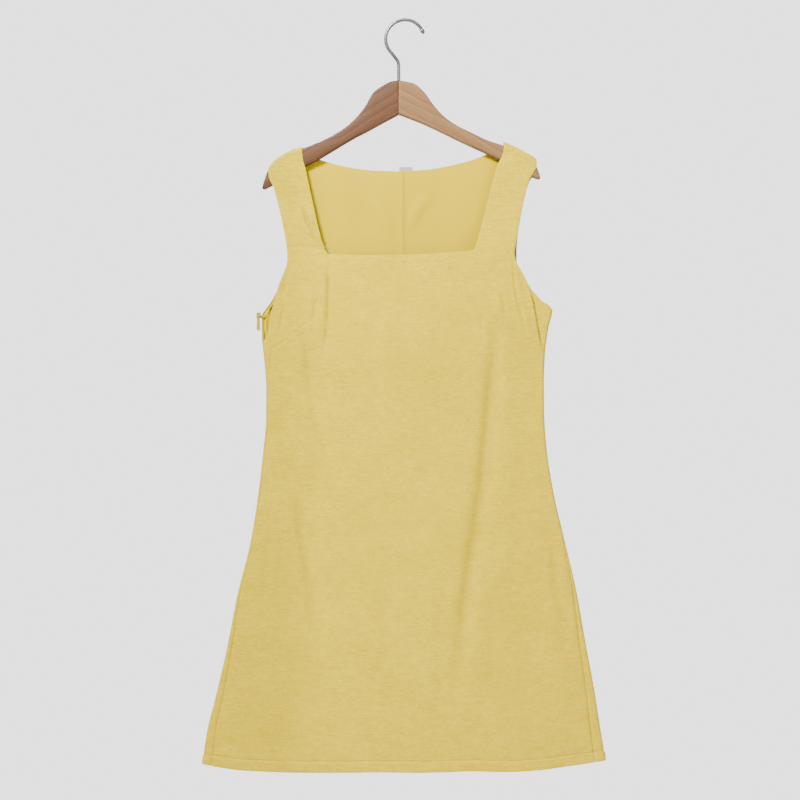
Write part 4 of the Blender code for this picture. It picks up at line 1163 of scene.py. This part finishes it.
def add_barrel(mesh):
    """A short tube along X round the pin."""
    angles = [2 * math.pi * step / ROUND_SIDES for step in range(ROUND_SIDES)]
    rings = []
    for end, radius in ((-1, BARREL_HOLE), (-1, BARREL_RADIUS), (1, BARREL_RADIUS), (1, BARREL_HOLE)):
        x = PIN.x + end * BARREL_LENGTH / 2
        places = [(x, PIN.y + radius * math.cos(a), PIN.z + radius * math.sin(a)) for a in angles]
        rings.append([mesh.verts.new(place) for place in places])
    for ring, after in zip(rings, rings[1:] + rings[:1]):
        for a, b, c, d in zip(ring, ring[1:] + ring[:1], after[1:] + after[:1], after):
            mesh.faces.new([a, b, c, d])


def make_label(finish):
    """The blank label: a folded strip of woven tape with softly bowed faces."""
    low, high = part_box("neck_label")
    u, v = np.meshgrid(*(np.linspace(0, 1, cells + 1) for cells in LABEL_CELLS))
    bow = blend(LABEL_EDGE, 1.0, np.sin(math.pi * np.minimum(v + LABEL_FOOT, 1.0)))
    bow *= blend(1 - LABEL_WAVE, 1.0, np.sin(2 * math.pi * u))
    x, z = blend(low[0], high[0], u), blend(low[2], high[2], v)
    middle, half = (low[1] + high[1]) / 2, (high[1] - low[1]) / 2
    faces = [np.stack([x, middle + face * half * bow, z], axis=-1) for face in (-1, 1)]
    return finished(wall("label", *faces), finish, "label", "neck_label", sharp=METAL_SHARP)


# Materials


class Shader:
    """Small helper to build a node material."""

    def __init__(self, name, roughness, specular=0.5):
        self.material = bpy.data.materials.new(name)
        self.material.use_nodes = True
        self.tree = self.material.node_tree
        self.surface = self.tree.nodes["Principled BSDF"]
        self.surface.inputs["Roughness"].default_value = roughness
        self.surface.inputs["Specular IOR Level"].default_value = specular
        self.place = self.tree.nodes.new("ShaderNodeTexCoord").outputs["Object"]

    def node(self, kind, settings=(), **inputs):
        made = self.tree.nodes.new(kind)
        for name, value in settings:
            setattr(made, name, value)
        for name, value in inputs.items():
            self.join(value, made.inputs[name.replace("_", " ")])
        return made

    def join(self, value, socket):
        if isinstance(value, bpy.types.NodeSocket):
            self.tree.links.new(value, socket)
        else:
            socket.default_value = value

    def mapped(self, scale, turn=(0, 0, 0)):
        turned = self.node("ShaderNodeMapping", Vector=self.place, Rotation=turn).outputs["Vector"]
        return self.node("ShaderNodeMapping", Vector=turned, Scale=scale).outputs["Vector"]

    def noise(self, scale, detail=2.0, roughness=0.5, turn=(0, 0, 0)):
        place = self.mapped(scale, turn)
        made = self.node("ShaderNodeTexNoise", Vector=place, Scale=1.0, Detail=detail, Roughness=roughness)
        return made.outputs["Fac"]

    def ramp(self, value, *stops):
        made = self.tree.nodes.new("ShaderNodeValToRGB")
        self.join(value, made.inputs["Fac"])
        elements = made.color_ramp.elements
        while len(elements) < len(stops):
            elements.new(0.5)
        for element, (position, shade) in zip(elements, stops):
            element.position = position
            element.color = (*shade, 1.0)
        return made.outputs["Color"]

    def wander(self, value, edge, dark, light):
        """From the dark shade below an edge to the light one, as far below 1 as the edge is above 0."""
        return self.ramp(value, (edge, dark), (1 - edge, light))

    def mix(self, first, last, share, mode="MIX"):
        made = self.tree.nodes.new("ShaderNodeMix")
        made.data_type = "RGBA"
        made.blend_type = mode
        for value, socket in ((share, 0), (first, 6), (last, 7)):
            self.join(value, made.inputs[socket])
        return made.outputs[2]

    def math(self, operation, first, last):
        made = self.tree.nodes.new("ShaderNodeMath")
        made.operation = operation
        self.join(first, made.inputs[0])
        self.join(last, made.inputs[1])
        return made.outputs[0]

    def paint(self, colour):
        self.join(colour, self.surface.inputs["Base Color"])

    def bump(self, height, distance, strength):
        made = self.node("ShaderNodeBump", Height=height, Distance=distance, Strength=strength)
        self.join(made.outputs["Normal"], self.surface.inputs["Normal"])


def mottled(name, roughness, specular, scale, detail, edge, dark, light):
    """A material whose colour wanders between two shades, and the noise that it follows."""
    shader = Shader(name, roughness, specular)
    noise = shader.noise(scale, detail)
    shader.paint(shader.wander(noise, edge, dark, light))
    return shader, noise


def linen_material():
    """Slubbed plain weave: threads both ways, uneven slubs across, faint mottling, a few dark flecks, and
    painted shade that darkens the left side.
    """
    shader = Shader("linen", 0.92, 0.02)
    weft = shader.noise((170, 170, 880), 3.0, 0.6)
    warp = shader.noise((880, 880, 150), 2.0, 0.6)
    across = shader.node("ShaderNodeSeparateXYZ", Vector=shader.place).outputs["X"]
    # Painted shade: the colour darkens toward the left side and fades out across this span
    low, high = PAINTED_LEFT_SHADE
    painted_shade_span = shader.node("ShaderNodeMapRange", Value=across, From_Min=low, From_Max=high)
    layers = (
        (0.80, shader.ramp(weft, (0.28, (0.80, 0.80, 0.62)), (0.50, WHITE), (0.74, (1.15, 1.16, 2.00)))),
        (1.0, shader.wander(shader.noise((62, 62, 520)), 0.34, (0.93, 0.928, 0.85), (1.06, 1.06, 1.25))),
        (1.0, shader.wander(shader.noise((85, 85, 110)), 0.34, (0.965, 0.962, 0.90), (1.03, 1.03, 1.15))),
        (0.65, shader.wander(warp, 0.32, (0.91, 0.91, 0.86), (1.07, 1.07, 1.14))),
        # painted shade on the left side
        (1.0, shader.ramp(painted_shade_span.outputs["Result"], (0.0, (0.852, 0.855, 0.82)), (1.0, WHITE))),
    )
    mottle = shader.noise((13, 13, 20), 3.0)
    colour = shader.wander(mottle, 0.30, (0.345, 0.250, 0.0030), (0.371, 0.268, 0.0048))
    for share, layer in layers:
        colour = shader.mix(colour, layer, share, "MULTIPLY")
    specks = shader.node("ShaderNodeTexVoronoi", Vector=shader.place, Scale=19.0)
    level = shader.node("ShaderNodeSeparateColor", Color=specks.outputs["Color"]).outputs["Red"]
    kept = shader.math("GREATER_THAN", level, 0.62)
    speck = shader.math("MULTIPLY", shader.math("LESS_THAN", specks.outputs["Distance"], 0.012), kept)
    shader.paint(shader.mix(colour, (0.16, 0.10, 0.012, 1.0), shader.math("MULTIPLY", speck, 0.55)))
    height = shader.math("ADD", shader.math("MULTIPLY", weft, 0.65), shader.math("MULTIPLY", warp, 0.35))
    shader.bump(height, 0.0011, 0.7)
    return shader.material


def lining_material():
    """Smooth thin lining in a brighter yellow, with faint streaks."""
    dark, light = (0.318, 0.226, 0.0), (0.342, 0.243, 0.0)
    shader = mottled("lining", 0.6, 0.0, (16, 16, 9), 3.0, 0.32, dark, light)[0]
    shader.bump(shader.noise((900, 900, 900), 1.0), 0.0002, 0.3)
    return shader.material


def thread_material():
    """Sewing thread in the cloth's colour, with a twist."""
    dark, light = (0.300, 0.215, 0.003), (0.400, 0.292, 0.008)
    return mottled("thread", 0.7, 0.05, (1500, 1500, 1500), 1.0, 0.35, dark, light)[0].material


def lacquer_material():
    """Zip metal lacquered in the cloth's colour, worn a little at random."""
    dark, light = (0.155, 0.118, 0.003), (0.205, 0.156, 0.007)
    shader, wear = mottled("zip_lacquer", 0.42, 0.12, (420, 420, 420), 3.0, 0.35, dark, light)
    shader.bump(wear, 0.0001, 0.2)
    return shader.material


def label_material():
    """Blank woven satin label with fine cross ribs."""
    dark, light = (0.170, 0.155, 0.122), (0.255, 0.232, 0.188)
    shader, ribs = mottled("label", 0.6, 0.5, (300, 300, 2400), 1.0, 0.35, dark, light)
    shader.bump(ribs, 0.0002, 0.4)
    return shader.material


def steel_material():
    """Bright drawn wire with faint lengthwise scratches."""
    dark, light = (0.094, 0.090, 0.082), (0.120, 0.116, 0.106)
    shader, scratches = mottled("steel", 0.28, 0.5, (90, 90, 40), 2.0, 0.30, dark, light)
    shader.surface.inputs["Metallic"].default_value = 1.0
    shader.surface.inputs["Specular Tint"].default_value = (0.10, 0.095, 0.085, 1.0)
    rough = shader.math("ADD", shader.math("MULTIPLY", scratches, 0.1), 0.32)
    shader.join(rough, shader.surface.inputs["Roughness"])
    return shader.material


def wood_material(name, dark, light, slope):
    """Planed beech with growth rings running out along the board, fine pores and a clear satin coat."""
    shader = Shader(name, 0.5, 0.12)
    turn = (0, math.radians(slope), 0)
    rings = shader.node(
        "ShaderNodeTexWave",
        (("bands_direction", "Z"), ("wave_profile", "SAW")),
        Vector=shader.mapped((7, 14, 25), turn), Scale=1.0, Distortion=9.0, Detail=2.0, Detail_Scale=0.7,
    ).outputs["Fac"]
    grain = shader.noise((10, 260, 330), 4.0, 0.6, turn)
    pores = shader.noise((60, 1100, 1500), turn=turn)
    body = shader.math("ADD", shader.math("MULTIPLY", rings, 0.55), shader.math("MULTIPLY", grain, 0.45))
    base = shader.ramp(body, (0.18, dark), (0.75, light))
    fleck = shader.ramp(pores, (0.36, (0.70, 0.66, 0.62)), (0.50, WHITE))
    shader.paint(shader.mix(base, fleck, 0.6, "MULTIPLY"))
    shader.bump(pores, 0.0003, 0.25)
    return shader.material


# Stage, light and camera


def make_stage():
    """The floor, and surroundings as bright as the photo's wall behind the dress and dimmer before it."""
    bpy.ops.mesh.primitive_cylinder_add(
        vertices=96, radius=FLOOR_RADIUS, depth=FLOOR_THICKNESS, location=(0, 0, FLOOR_MIDDLE)
    )
    floor = bpy.context.object
    floor.name = "floor"
    shader = Shader("floor", 0.9)
    shader.paint(FLOOR_SHADE)
    floor.data.materials.append(shader.material)
    world = bpy.context.scene.world or bpy.data.worlds.new("world")
    bpy.context.scene.world = world
    world.use_nodes = True
    tree = world.node_tree
    background = tree.nodes["Background"]
    background.inputs["Color"].default_value = (1.0, 0.99, 1.0, 1.0)
    ahead = tree.nodes.new("ShaderNodeSeparateXYZ")
    tree.links.new(tree.nodes.new("ShaderNodeTexCoord").outputs["Generated"], ahead.inputs["Vector"])
    level = tree.nodes.new("ShaderNodeMapRange")
    level.interpolation_type = "SMOOTHSTEP"
    tree.links.new(ahead.outputs["Y"], level.inputs["Value"])
    ends = {"From Min": WALL_START, "From Max": WALL_FULL, "To Min": ROOM_LEVEL, "To Max": WALL_LEVEL}
    for name, value in ends.items():
        level.inputs[name].default_value = value
    tree.links.new(level.outputs["Result"], background.inputs["Strength"])


def make_light(name, place, width, watts):
    data = bpy.data.lights.new(name, "AREA")
    data.shape = "DISK"
    data.size = width
    data.energy = watts
    made = linked(name, data)
    made.location = place
    made.rotation_euler = (LIGHT_TARGET - made.location).to_track_quat("-Z", "Y").to_euler()


def make_camera():
    x, z = in_frame(PHOTO_MIDDLE_PX, PHOTO_MIDDLE_PX)
    data = bpy.data.cameras.new("camera")
    data.sensor_width = SENSOR_MM
    data.lens = SENSOR_MM * CAMERA_DISTANCE / (2 * PHOTO_MIDDLE_PX * METRES_PER_PX)
    made = linked("camera", data)
    made.location = (x, -CAMERA_DISTANCE, z)
    made.rotation_euler = (math.pi / 2, 0, 0)
    bpy.context.scene.camera = made


linen = linen_material()
lining = lining_material()
thread = thread_material()
front = make_front(linen, thread)
halves = [make_back(side, linen, lining, thread) for side in (-1, 1)]
for side, wood in WOODS.items():
    make_board(side, wood_material(*wood), wood[0])
make_hook(steel_material())
lacquer = lacquer_material()
make_slider(lacquer)
make_pull(lacquer)
make_label(label_material())
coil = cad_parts["zip_coil"]
coil.data.materials.clear()
coil.data.materials.append(lacquer)

make_stage()
for light in LIGHTS:
    make_light(*light)
make_camera()
